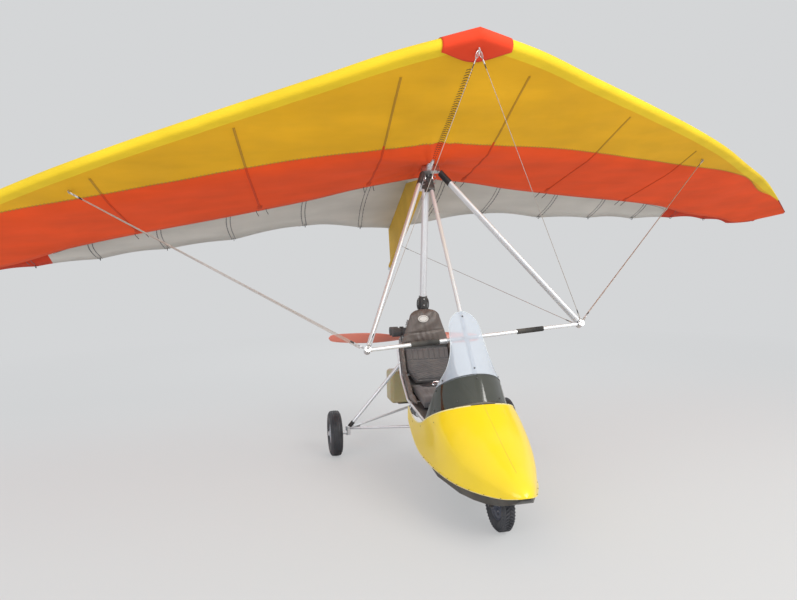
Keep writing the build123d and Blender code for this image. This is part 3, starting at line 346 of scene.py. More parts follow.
clothLook = {"roughness": 0.72, "dust": 0.03, "bump": "cloth", "bumpHeight": 0.30, "shade": 0.05,
             "sockets": {"Sheen Weight": 0.03, "Specular IOR Level": 0.14}}
clothColours = {
    "yellowCloth": (0.82, 0.58, 0.025), "ochreCloth": (0.78, 0.42, 0.014), "redCloth": (0.86, 0.085, 0.012),
    "whiteCloth": (0.60, 0.58, 0.54), "darkRedCloth": (0.30, 0.016, 0.012),
    # the tip cloth is red with painted shade: a darker copy of the red for the shaded rear of the upper skin
    # at the tips
    "shadedTipCloth": (0.62, 0.045, 0.012), "redSeam": (0.60, 0.055, 0.010), "greySeam": (0.17, 0.17, 0.18),
    "capCloth": (0.76, 0.06, 0.02), "seamTape": (0.45, 0.24, 0.02), "whiteSeam": (0.48, 0.45, 0.40),
    "pocketCloth": (0.58, 0.36, 0.05),
}
finishes = {
    "thread": dict(colour=(0.34, 0.18, 0.05), roughness=0.7, dust=0.2),
    "blackPatch": dict(colour=(0.012, 0.012, 0.014), roughness=0.6, bump="grain"),
    "alloyTube": dict(colour=(0.70, 0.72, 0.75), roughness=0.42, metallic=0.50, dust=0.20),
    "satinSteel": dict(colour=(0.60, 0.60, 0.61), roughness=0.28, metallic=1.0, dust=0.15,
                       bump="scratches", bumpHeight=0.2),
    "blackSteel": dict(colour=(0.028, 0.028, 0.03), roughness=0.38, dust=0.30, bump="grain",
                       bumpHeight=0.12),
    "cable": dict(colour=(0.46, 0.40, 0.36), roughness=0.42, metallic=0.9, dust=0.35),
    "blackPlastic": dict(colour=(0.016, 0.016, 0.018), roughness=0.5, dust=0.2, bump="grain"),
    "gripFoam": dict(colour=(0.02, 0.02, 0.02), roughness=0.85, dust=0.3, bump="grain", bumpHeight=0.5),
    "podPaint": dict(colour=(0.82, 0.60, 0.012), roughness=0.30, dust=0.04, shade=0.04,
                     sockets={"Coat Weight": 0.45, "Coat Roughness": 0.12, "Specular IOR Level": 0.35}),
    "podInside": dict(colour=(0.035, 0.033, 0.030), roughness=0.7, dust=0.5, bump="grain", bumpHeight=0.3),
    "seal": dict(colour=(0.02, 0.022, 0.018), roughness=0.45, dust=0.3),
    "belt": dict(colour=(0.022, 0.022, 0.026), roughness=0.6, dust=0.25, bump="cloth", bumpHeight=0.5),
    "brightSteel": dict(colour=(0.80, 0.81, 0.83), roughness=0.15, metallic=1.0, dust=0.08),
    "leadRubber": dict(colour=(0.05, 0.018, 0.015), roughness=0.5, dust=0.3),
    "noseDisc": dict(colour=(0.045, 0.055, 0.085), roughness=0.4, dust=0.45),
    "podSeam": dict(colour=(0.55, 0.42, 0.05), roughness=0.5, dust=0.3),
    "clearEdge": dict(colour=(0.62, 0.68, 0.70), roughness=0.2, dust=0.2),
    "patchWhite": dict(colour=(0.62, 0.60, 0.57), roughness=0.6, dust=0.3, bump="cloth"),
    "podEdge": dict(colour=(0.74, 0.66, 0.30), roughness=0.35, dust=0.3),
    "podDark": dict(colour=(0.02, 0.02, 0.02), roughness=0.35, dust=0.45),
    "frameSteel": dict(colour=(0.04, 0.04, 0.045), roughness=0.42, dust=0.35, bump="grain",
                       bumpHeight=0.12),
    "seatVinyl": dict(colour=(0.098, 0.080, 0.072), roughness=0.40, dust=0.22, bump="grain",
                      bumpHeight=0.45, bumpScale={"Grain": 500.0, "Waves": 18.0}),
    "seatCloth": dict(colour=(0.072, 0.068, 0.072), roughness=0.8, dust=0.22, bump="cloth",
                      bumpHeight=0.4, sockets={"Sheen Weight": 0.3}),
    "tankPlastic": dict(colour=(0.42, 0.37, 0.20), roughness=0.42, dust=0.3, bump="grain", shade=0.10,
                        bumpHeight=0.1, sockets={"Subsurface Weight": 0.25}),
    "castAlloy": dict(colour=(0.30, 0.30, 0.305), roughness=0.55, metallic=0.6, dust=0.5, bump="grain",
                      bumpHeight=0.6),
    "hotSteel": dict(colour=(0.16, 0.115, 0.09), roughness=0.6, metallic=0.5, dust=0.3, bump="grain",
                     bumpHeight=0.3),
    "filterFoam": dict(colour=(0.07, 0.07, 0.075), roughness=0.95, dust=0.3, bump="grain", bumpHeight=0.9),
    "rubber": dict(colour=(0.022, 0.024, 0.030), roughness=0.55, dust=0.42,
                   dustColour=(0.22, 0.22, 0.24), dustScale=9.0, bump="grain", bumpHeight=0.3),
    "wheelPlastic": dict(colour=(0.42, 0.46, 0.52), roughness=0.45, dust=0.5),
    "bladePaint": dict(colour=(0.62, 0.19, 0.14), roughness=0.3, dust=0.2),
}
look = {name: makeMaterial(name, colour, **clothLook) for name, colour in clothColours.items()}
look.update({name: makeMaterial(name, **finish) for name, finish in finishes.items()})


# Thin clear sheet: tinted, glossy and partly see-through; on the clear screen the pale blue-grey colour is a
# painted reflection of the sky
def glassLook(name, colour, roughness, alpha):
    material = makeMaterial(name, colour, roughness, dust=0.10, dustScale=3.0)
    material.node_tree.nodes["Principled BSDF"].inputs["Alpha"].default_value = alpha
    material.node_tree.nodes["Principled BSDF"].inputs["Specular IOR Level"].default_value = 0.9
    return material


# the clear screen's see-through share is real; its pale blue-grey colour is a painted sky reflection
look["clearScreenSkyPainted"] = glassLook("clearScreenSkyPainted", (0.56, 0.62, 0.70), 0.06, 0.45)
look["smokedScreen"] = glassLook("smokedScreen", (0.028, 0.032, 0.022), 0.07, 0.88)

nodeLook = {   # the nodes of each look
    "alloyTube": "keel_tube kingpost upright_left upright_right control_bar upper_mast lower_mast "
                 "front_strut base_tube undercarriage_left undercarriage_right seat_frame",
    "pocketCloth": "keel_pocket",
    "blackPlastic": "upright_knuckles",
    "satinSteel": "apex_bracket corner_fittings wire_tangs hang_bracket",
    "gripFoam": "bar_grips",
    "cable": "side_wires fore_aft_wires upper_wires",
    "blackSteel": "mast_head fold_bracket leg_collar link_collar drag_collar",
    "rubber": "nose_tyre left_tyre right_tyre",
    "wheelPlastic": "nose_rim left_rim right_rim",
    "frameSteel": "nose_fork foot_pegs tank_tray engine_rails engine_stays",
    "podPaint": "pod_body",
    "podDark": "pod_belly",
    "smokedScreen": "screen_cowl",
    "clearScreenSkyPainted": "windscreen",
    "seatVinyl": "seat_back",
    "seatCloth": "back_pad rear_cushion front_cushion",
    "tankPlastic": "fuel_tank",
    "castAlloy": "engine_block engine_cylinders gearbox",
    "hotSteel": "exhaust",
    "filterFoam": "air_intake",
    "bladePaint": "propeller",
    "redCloth": "sail_left sail_right",
    "capCloth": "nose_cap",
}
for finish, names in nodeLook.items():
    for name in names.split():
        nodes[name].data.materials.clear()
        nodes[name].data.materials.append(look[finish])
print("materials are on the frame's nodes")


# Mesh piece from points and faces, with one material or one for each face
def newPiece(name, points, faces, materials, faceLooks=None, angle=35):
    mesh = bpy.data.meshes.new(name)
    mesh.from_pydata([tuple(point) for point in points], [], faces)
    piece = addObject(name, mesh)
    for material in materials:
        mesh.materials.append(look[material])
    if faceLooks:
        for face, number in zip(mesh.polygons, faceLooks):
            face.material_index = number
    smoothByAngle(piece, angle)
    mesh.update()
    return piece


def smoothByAngle(piece, angle):
    for face in piece.data.polygons:
        face.use_smooth = True
    piece.data.set_sharp_from_angle(angle=radians(angle))


# Quads between rows of points that lie one after another, each row open or a ring; rowsFirst turns them over
def gridFaces(rows, wide, ring=False, rowsFirst=False, base=0):
    faces = []
    for i in range(rows - 1):
        for k in range(wide if ring else wide - 1):
            a, b = base + i * wide + k, base + i * wide + (k + 1) % wide
            faces.append((a, a + wide, b + wide, b) if rowsFirst else (a, b, b + wide, a + wide))
    return faces


# Faces of a closed bar through rings of points
def barFaces(rows, ring):
    last = reversed(range(rows * ring - ring, rows * ring))
    return gridFaces(rows, ring, ring=True) + [tuple(range(ring)), tuple(last)]


def withModifier(piece, kind, **settings):
    modifier = piece.modifiers.new(kind.lower(), kind)
    for key, value in settings.items():
        setattr(modifier, key, value)
    return modifier


# Turns the evaluated piece into its plain mesh
def applyModifiers(piece):
    bpy.context.view_layer.update()
    solved = piece.evaluated_get(bpy.context.evaluated_depsgraph_get())
    mesh = bpy.data.meshes.new_from_object(solved)
    piece.modifiers.clear()
    old, piece.data = piece.data, mesh
    mesh.name = piece.name
    bpy.data.meshes.remove(old)


def place(piece, body, slot, *replaced):
    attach(piece, body)
    if replaced:
        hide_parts(*replaced)


# Joins points that lie together and turns the faces outwards
def cleanMesh(piece, near=1e-5, outwards=True):
    solid = bmesh.new()
    solid.from_mesh(piece.data)
    if near:
        bmesh.ops.remove_doubles(solid, verts=solid.verts, dist=near)
    if outwards:
        bmesh.ops.recalc_face_normals(solid, faces=solid.faces)
    solid.to_mesh(piece.data)
    solid.free()


def thicken(piece, thickness, offset=0):
    withModifier(piece, "SOLIDIFY", thickness=thickness, offset=offset)
    applyModifiers(piece)


repeatSizes = {
    "roundHead": {"Radius": 0.004, "Height": 0.003},
    "block": {"Width": 0.01, "Depth": 0.01, "Height": 0.01},
}


# Geometry Nodes tree that puts one shape on every point of a mesh, turned by its "turn" attribute
def repeatTree(kind):
    tree = bpy.data.node_groups.new(kind, "GeometryNodeTree")
    add = tree.nodes.new
    tree.interface.new_socket(name="Geometry", in_out="INPUT", socket_type="NodeSocketGeometry")
    for name, value in repeatSizes[kind].items():
        socket = tree.interface.new_socket(name=name, in_out="INPUT", socket_type="NodeSocketFloat")
        socket.default_value = value
    tree.interface.new_socket(name="Finish", in_out="INPUT", socket_type="NodeSocketMaterial")
    tree.interface.new_socket(name="Geometry", in_out="OUTPUT", socket_type="NodeSocketGeometry")
    start, end = add("NodeGroupInput"), add("NodeGroupOutput")
    if kind == "roundHead":
        shape = add("GeometryNodeMeshCone")
        shape.inputs["Vertices"].default_value = 10
        tree.links.new(start.outputs["Radius"], shape.inputs["Radius Bottom"])
        top = mathNode(tree, "MULTIPLY", start.outputs["Radius"], 0.72)
        tree.links.new(top, shape.inputs["Radius Top"])
        tree.links.new(start.outputs["Height"], shape.inputs["Depth"])
    else:
        shape = add("GeometryNodeMeshCube")
        size = add("ShaderNodeCombineXYZ")
        for key, axis in (("Width", "X"), ("Depth", "Y"), ("Height", "Z")):
            tree.links.new(start.outputs[key], size.inputs[axis])
        tree.links.new(size.outputs[0], shape.inputs["Size"])
    turn = add("GeometryNodeInputNamedAttribute")
    turn.data_type = "FLOAT_VECTOR"
    turn.inputs["Name"].default_value = "turn"
    spread = add("GeometryNodeInstanceOnPoints")
    real = add("GeometryNodeRealizeInstances")
    paint = add("GeometryNodeSetMaterial")
    tree.links.new(start.outputs["Geometry"], spread.inputs["Points"])
    tree.links.new(shape.outputs["Mesh"], spread.inputs["Instance"])
    tree.links.new(turn.outputs["Attribute"], spread.inputs["Rotation"])
    tree.links.new(spread.outputs["Instances"], real.inputs["Geometry"])
    tree.links.new(real.outputs["Geometry"], paint.inputs["Geometry"])
    tree.links.new(start.outputs["Finish"], paint.inputs["Material"])
    tree.links.new(paint.outputs["Geometry"], end.inputs["Geometry"])
    return tree


repeatTrees = {kind: repeatTree(kind) for kind in repeatSizes}


# One mesh of like shapes. Each spot is a place, an outward direction and perhaps a direction to turn to
def repeated(name, spots, kind, material, **sizes):
    mesh = bpy.data.meshes.new(name)
    mesh.from_pydata([tuple(spot[0]) for spot in spots], [], [])
    turns = mesh.attributes.new("turn", "FLOAT_VECTOR", "POINT")
    for number, spot in enumerate(spots):
        out = Vector(spot[1]).normalized()
        if len(spot) > 2:
            side = Vector(spot[2])
            side = (side - out * side.dot(out)).normalized()
            turn = Matrix((side, out.cross(side), out)).transposed().to_euler()
        else:
            turn = out.to_track_quat("Z", "Y").to_euler()
        turns.data[number].vector = tuple(turn)
    piece = addObject(name, mesh)
    tree = repeatTrees[kind]
    keys = {item.name: item.identifier for item in tree.interface.items_tree
            if item.item_type == "SOCKET" and item.in_out == "INPUT"}
    modifier = piece.modifiers.new("repeat", "NODES")
    modifier.node_group = tree
    for key, value in sizes.items():
        modifier[keys[key]] = value
    modifier[keys["Finish"]] = look[material]
    applyModifiers(piece)
    for layer in [layer for layer in piece.data.attributes if layer.name == "turn"]:
        piece.data.attributes.remove(layer)
    smoothByAngle(piece, 40)
    return piece


def heads(name, spots, radius, height, material="satinSteel"):
    return repeated(name, spots, "roundHead", material, Radius=radius, Height=height)


def blocks(name, spots, material, width, depth, height):
    return repeated(name, spots, "block", material, Width=width, Depth=depth, Height=height)


# Mesh of a curve, whose data is then deleted
def curveMesh(name, curve):
    holder = addObject(name, curve)
    bpy.context.view_layer.update()
    mesh = bpy.data.meshes.new_from_object(holder.evaluated_get(bpy.context.evaluated_depsgraph_get()))
    bpy.data.objects.remove(holder)
    bpy.data.curves.remove(curve)
    return mesh


# Round tube along straight or curved points, as a mesh with ends
def tubePiece(name, path, radius, material, sides=12, closed=False):
    curve = bpy.data.curves.new(name, "CURVE")
    curve.dimensions = "3D"
    spline = curve.splines.new("POLY")
    spline.points.add(len(path) - 1)
    for point, position in zip(spline.points, path):
        point.co = (*position, 1)
    spline.use_cyclic_u = closed
    curve.bevel_depth = radius
    curve.bevel_resolution = max(sides // 4 - 1, 1)
    curve.use_fill_caps = True
    mesh = curveMesh(name, curve)
    mesh.materials.clear()
    mesh.materials.append(look[material])
    piece = addObject(name, mesh)
    smoothByAngle(piece, 50)
    return piece


# One piece from several, keeping their materials
def joinPieces(name, pieces):
    solid = bmesh.new()
    mesh = bpy.data.meshes.new(name)
    names = []
    for piece in pieces:
        for material in piece.data.materials:
            if material not in names:
                names.append(material)
    for piece in pieces:
        slots = [names.index(material) for material in piece.data.materials]
        before = len(solid.faces)
        solid.from_mesh(piece.data)
        solid.faces.ensure_lookup_table()
        for face in solid.faces[before:]:
            face.material_index = slots[face.material_index]
    solid.to_mesh(mesh)
    solid.free()
    for material in names:
        mesh.materials.append(material)
    for piece in pieces:
        old = piece.data
        bpy.data.objects.remove(piece)
        bpy.data.meshes.remove(old)
    return addObject(name, mesh)


# Wing frame: X along the span, Y aft along the keel, Z out of the sail
wing = {"noseUp": 27.1, "bank": 4.05, "hang": Vector(joints["wing_roll"]["pos_m"])}
nose, bank = radians(wing["noseUp"]), radians(-wing["bank"])
spanLine = Vector((cos(bank), -sin(bank) * sin(nose), -sin(bank) * cos(nose)))
keelLine = Vector((0, cos(nose), -sin(nose)))
liftLine = Vector((sin(bank), cos(bank) * sin(nose), cos(bank) * cos(nose)))


def onWing(x, y, z):
    return wing["hang"] + spanLine * x + keelLine * y + liftLine * z


sail = {
    # span, leading edge y and z, nose radius, belly y and z, lower skin's rear edge y and z,
    # trailing edge y and z
    "ribs": [
        (0, -1.490, 0, 0.042, -0.200, -0.036, 0.300, 0.150, 1.512, 0.336),
        (0.500, -1.315, 0, 0.042, -0.250, -0.040, 0.385, 0.130, 1.330, 0.300),
        (1.010, -1.085, 0, 0.042, -0.200, -0.040, 0.510, 0.105, 1.175, 0.250),
        (1.765, -0.745, 0, 0.042, -0.050, -0.038, 0.690, 0.095, 1.255, 0.190),
        (2.390, -0.450, 0.005, 0.040, 0.150, -0.032, 0.820, 0.085, 1.265, 0.150),
        (3.020, -0.120, 0.015, 0.038, 0.300, -0.020, 0.985, 0.080, 1.330, 0.130),
        (3.510, 0.184, 0.040, 0.034, 0.500, 0, 1.200, 0.085, 1.350, 0.120),
        (4.180, 0.607, 0.080, 0.024, 0.800, 0.057, 1.400, 0.087, 1.480, 0.105),
        (4.620, 0.935, 0.088, 0.014, 1.100, 0.075, 1.560, 0.090, 1.610, 0.100),
        (5.000, 1.235, 0.094, 0.008, 1.330, 0.087, 1.470, 0.090, 1.500, 0.100),
        (5.190, 1.385, 0.098, 0.006, 1.395, 0.092, 1.412, 0.0905, 1.425, 0.100),
    ],
    "crest": 0.27,      # way from the nose's top to the crest, as a share of the chord
    "entry": 18,        # degrees by which that way rises
    # span and station of the line between the ochre and the red panels
    "stripe": [(0, -0.43), (0.54, -0.37), (1.1, -0.30), (1.84, -0.14), (2.60, 0.05), (3.13, 0.18),
               (3.69, 0.40), (4.20, 0.76), (4.58, 0.95), (5.0, 1.24), (5.19, 1.385)],
    "pocketDepth": 0.098,       # the bright pocket's lower edge lies this far behind the leading edge
    # outboard of redTip the upper skin's rear is red cloth painted darker, as painted shade
    "redTip": 3.24,             # outboard of this the rear panels are red
    "redEdge": 4.74,            # outboard of this the leading edge is red too
    "stations": 124,
    "rows": {"tail": 12, "crest": 8, "nose": 8, "pocket": 2, "ochre": 8, "red": 14},
    "scallop": 0.030,
    "billow": 0.010,
    "bow": 0.035,
    "bellyRound": 0.003,        # height by which the lower skin rounds off its belly's line
    "battens": [0.35, 0.95, 1.65, 2.27, 2.87, 3.42, 3.95, 4.42, 4.80],
    "tipMark": 5.3,             # the row of battens ends here
    "thickness": 0.0012,
    # offset, width and height of the seams of batten pockets, above and below the upper skin
    "pocketSeams": {"above": (0.014, 0.008, 0.0022), "below": (0.017, 0.006, -0.004)},
    # width and height of the battens under the sail, their tabs, the stripe's tape and the white strip's seam
    "underBatten": (0.019, 0.006),
    "tab": (0.042, 0.0075),
    "stripeTape": (0.007, 0.0012),
    "stripSeam": (0.006, -0.004),
    "stripeEnd": 4.3,
    "tailLoops": 7,             # so many battens, from the keel out, have a cord loop and a sewn pocket
}
stitching = {
    "stripe": {"count": 150, "from": 0.06, "run": 4.3, "apart": 0.010, "sink": 0.0012,
               "size": (0.013, 0.0022, 0.0012)},
    "pocket": {"count": 14, "from": 0.02, "short": 0.05, "apart": 0.020, "sink": 0.0030,
               "size": (0.020, 0.0040, 0.0014)},
    "lacing": {"count": 44, "from": -1.20, "run": 1.12, "across": 0.012, "sink": 0.0016,
               "size": (0.026, 0.0034, 0.002)},
}
# span, station and height of a tie's points, from the sail's rear edge
tie = [(0, -0.02, -0.003), (0, 0.004, -0.006), (-0.018, 0.062, -0.010)]


# Row of a table at x, between the rows beside it, on a smooth curve through them
def between(table, x):
    rows = len(table)
    high = next((i for i in range(1, rows) if table[i][0] >= x), rows - 1)
    first, second = table[high - 1], table[high]
    before, after = table[max(high - 2, 0)], table[min(high + 1, rows - 1)]
    run = second[0] - first[0]
    t = min(max((x - first[0]) / run, 0), 1)
    result = [x]
    for k in range(1, len(first)):
        slope = (second[k] - first[k]) / run
        left = (first[k] - before[k]) / (first[0] - before[0]) if first[0] > before[0] else slope
        right = (after[k] - second[k]) / (after[0] - second[0]) if after[0] > second[0] else slope
        left = 0 if left * slope <= 0 else 2 * left * slope / (left + slope)
        right = 0 if right * slope <= 0 else 2 * right * slope / (right + slope)
        result.append((2 * t ** 3 - 3 * t ** 2 + 1) * first[k] + (t ** 3 - 2 * t ** 2 + t) * run * left
                      + (3 * t ** 2 - 2 * t ** 3) * second[k] + (t ** 3 - t ** 2) * run * right)
    return result


# Point at a share of the arc through three points of a plane
def arcPoint(start, middle, end, share):
    ax, ay, bx, by, cx, cy = *start, *middle, *end
    d = 2 * (ax * (by - cy) + bx * (cy - ay) + cx * (ay - by))
    a, b, c = ax * ax + ay * ay, bx * bx + by * by, cx * cx + cy * cy
    centre = Vector(((a * (by - cy) + b * (cy - ay) + c * (ay - by)) / d,
                     (a * (cx - bx) + b * (ax - cx) + c * (bx - ax)) / d))
    radius = (Vector(start) - centre).length
    first, mid, last = (atan2(p[1] - centre.y, p[0] - centre.x) for p in (start, middle, end))
    turn = (mid - first) % (2 * pi)
    full = (last - first) % (2 * pi)
    sweep = full if turn <= full else full - 2 * pi
    angle = first + sweep * share
    return centre + Vector((cos(angle), sin(angle))) * radius


# Corners of the skin at a span station: the upper skin's arcs, the nose and the lower skin
def ribShape(x, gap=0.0):
    leY, leZ, radius, bellyY, bellyZ, rearY, rearZ, teY, teZ = between(sail["ribs"], x)[1:]
    radius += gap
    middle = Vector((leY + radius - gap, leZ))
    entry = radians(sail["entry"])
    top = middle + Vector((-sin(2 * entry), cos(2 * entry))) * radius
    outerTop = middle + Vector((-sin(2 * entry), cos(2 * entry))) * (radius - gap)
    crest = outerTop + Vector((cos(entry), sin(entry))) * sail["crest"] * (teY - leY) + Vector((0, gap))
    tail = Vector((teY, teZ + gap))
    rise = crest - top
    hump = (top + crest) / 2 + Vector((-rise.y, rise.x)) * (tan(entry / 2) / 2)
    fall = tail - crest
    back = crest + Vector((fall.x / 2, fall.y / 4))
    return {"tail": tail, "back": back, "crest": crest, "hump": hump, "top": top,
            "front": middle + Vector((-radius, 0)), "bottom": middle + Vector((0, -radius)),
            "belly": Vector((bellyY, bellyZ - gap)), "rear": Vector((rearY, rearZ - gap)), "leading": leY}


# Height of the lower skin at a station, rounded a little at the belly
def lowerHeight(shape, y):
    bottom, belly, rear = shape["bottom"], shape["belly"], shape["rear"]
    front = bottom.y + (belly.y - bottom.y) * (y - bottom.x) / (belly.x - bottom.x)
    back = belly.y + (rear.y - belly.y) * (y - belly.x) / (rear.x - belly.x)
    return max(front, back, (front + back) / 2 + sail["bellyRound"])


# Point of the upper skin: share 0 at the trailing edge, 1 at the crest, 2 at the nose's top
def upperPoint(shape, share):
    if share <= 1:
        return arcPoint(shape["tail"], shape["back"], shape["crest"], share)
    return arcPoint(shape["crest"], shape["hump"], shape["top"], share - 1)


# Share of the way from the batten inboard of x to the one outboard of it
def battenShare(x):
    marks = [-sail["battens"][0]] + sail["battens"] + [sail["tipMark"]]
    for left, right in zip(marks, marks[1:]):
        if left <= x < right:
            return (x - left) / (right - left)
    return 0


# How far the upper skin sinks between two battens
def billow(x, share):
    return -sail["billow"] * sin(pi * battenShare(x)) ** 2 * sin(pi * min(share, 2) / 2)


creases = {
    "apex": -0.09,               # station on the keel from which they fan out
    "rearFan": {"height": 0.0050, "folds": 15, "reach": 0.75, "start": 0.25},
    "frontFan": {"height": 0.0090, "folds": 17, "curl": 4, "reach": 0.42, "start": 0.12},
    "pull": {"height": 0.0022, "long": (9.0, 5.5), "short": (1.1, 4.3)},   # waves across and along the sail
}


# Creases of the lower skin: two fans from the apex and a slight pull everywhere
def pucker(x, y):
    along = y - creases["apex"]
    reach = sqrt(x * x + along * along)
    fan, front, pull = creases["rearFan"], creases["frontFan"], creases["pull"]
    total = fan["height"] * sin(fan["folds"] * atan2(x, along)) * exp(-reach / fan["reach"]) \
        * min(reach / fan["start"], 1)
    total += front["height"] * sin(front["folds"] * atan2(x, -along) + front["curl"] * reach) \
        * exp(-(reach / front["reach"]) ** 2) * min(reach / front["start"], 1)
    return total + pull["height"] * sin(pull["long"][0] * x + pull["long"][1] * y) \
        * sin(pull["short"][0] * x + pull["short"][1] * y)


# Stations at x: the lower skin's start, the bright pocket's edge, the line from ochre to red, the rear edge
def panelEdges(x):
    shape = ribShape(x)
    start, rear = shape["bottom"].x, shape["rear"].x
    pocket = min(sail["pocketDepth"] + shape["leading"] - start, (rear - start) * 0.3)
    pocket = start + pocket * min(max((sail["redEdge"] - x) / 0.5, 0.02), 1)
    stripe = min(max(between(sail["stripe"], x)[1], pocket + 0.008), pocket + (rear - pocket) * 0.9)
    return start, pocket, stripe, rear


def stripeAt(x):
    return panelEdges(x)[2]


# Sideways bow of a batten pocket's seams behind the lower skin
def bow(shape, y):
    rear, tail = shape["rear"].x, shape["tail"].x
    return sail["bow"] * sin(pi * min(max((y - rear) / (tail - rear), 0), 1))


# Skin at a span, from the trailing edge over the nose to the lower skin's rear edge, and a look for each row
def ribOutline(x):
    shape = ribShape(x)
    rows = sail["rows"]
    outline = []
    drawn = sail["scallop"] * sin(pi * battenShare(x))
    for i in range(rows["tail"]):
        share = i / rows["tail"]
        outline.append(upperPoint(shape, share) + Vector((-drawn * (1 - share) ** 3, billow(x, share))))
    for i in range(rows["crest"]):
        share = 1 + i / rows["crest"]
        outline.append(upperPoint(shape, share) + Vector((0, billow(x, share))))
    # outboard of redTip the upper skin's rows take the red cloth painted darker, a painted shade
    looks = ["shadedTipCloth" if x > sail["redTip"] else "whiteCloth"] * (len(outline) - 1)
    for i in range(rows["nose"]):
        outline.append(arcPoint(shape["top"], shape["front"], shape["bottom"], i / rows["nose"]))
    edging, middle = ("darkRedCloth", "redCloth") if x > sail["redEdge"] else ("yellowCloth", "ochreCloth")
    looks += [edging] * (rows["nose"] + 1)
    start, pocket, stripe, rear = panelEdges(x)
    for first, last, count, name in ((start, pocket, rows["pocket"], edging),
                                     (pocket, stripe, rows["ochre"], middle),
                                     (stripe, rear, rows["red"], "redCloth")):
        for i in range(count):
            y = first + (last - first) * i / count
            outline.append(Vector((y, lowerHeight(shape, y) + pucker(x, y) * min((y - start) / 0.1, 1))))
            looks.append(name)
    outline.append(shape["rear"])
    return outline, looks


# Raised strip along a line of (x, y) points on one skin, as rows of points across it
def ribbon(line, width, lift, lower):
    rows = []
    for number, (x, y) in enumerate(line):
        before, after = line[max(number - 1, 0)], line[min(number + 1, len(line) - 1)]
        along = Vector((after[0] - before[0], after[1] - before[1])).normalized()
        across = Vector((-along.y, along.x))
        row = []
        for share, rise in ((-0.5, 0), (-0.3, 0.8), (0, 1), (0.3, 0.8), (0.5, 0)):
            px, py = x + across.x * width * share, y + across.y * width * share
            row.append((px, py, skinHeight(px, py, lower) + (-1 if lower else 1) * (lift * rise)))
        rows.append(row)
    return rows


def skinHeight(x, y, lower):
    shape = ribShape(max(x, 0))
    if lower:
        start = shape["bottom"].x
        if y > shape["rear"].x:
            return skinHeight(x, y, False)
        return lowerHeight(shape, y) + pucker(x, y) * min(max((y - start) / 0.1, 0), 1)
    low, high = 0.0, 2.0
    for _ in range(24):
        share = (low + high) / 2
        if upperPoint(shape, share).x > y:
            low = share
        else:
            high = share
    return upperPoint(shape, low).y + billow(max(x, 0), low)


# front and rear end of each batten under the sail, by span and station
underBattens = [((0.47, -1.14), (0.45, 0.29)), ((1.57, -0.68), (1.40, 0.52)), ((2.60, -0.17), (2.45, 0.78))]
stitchRows, hookLoops = [], []


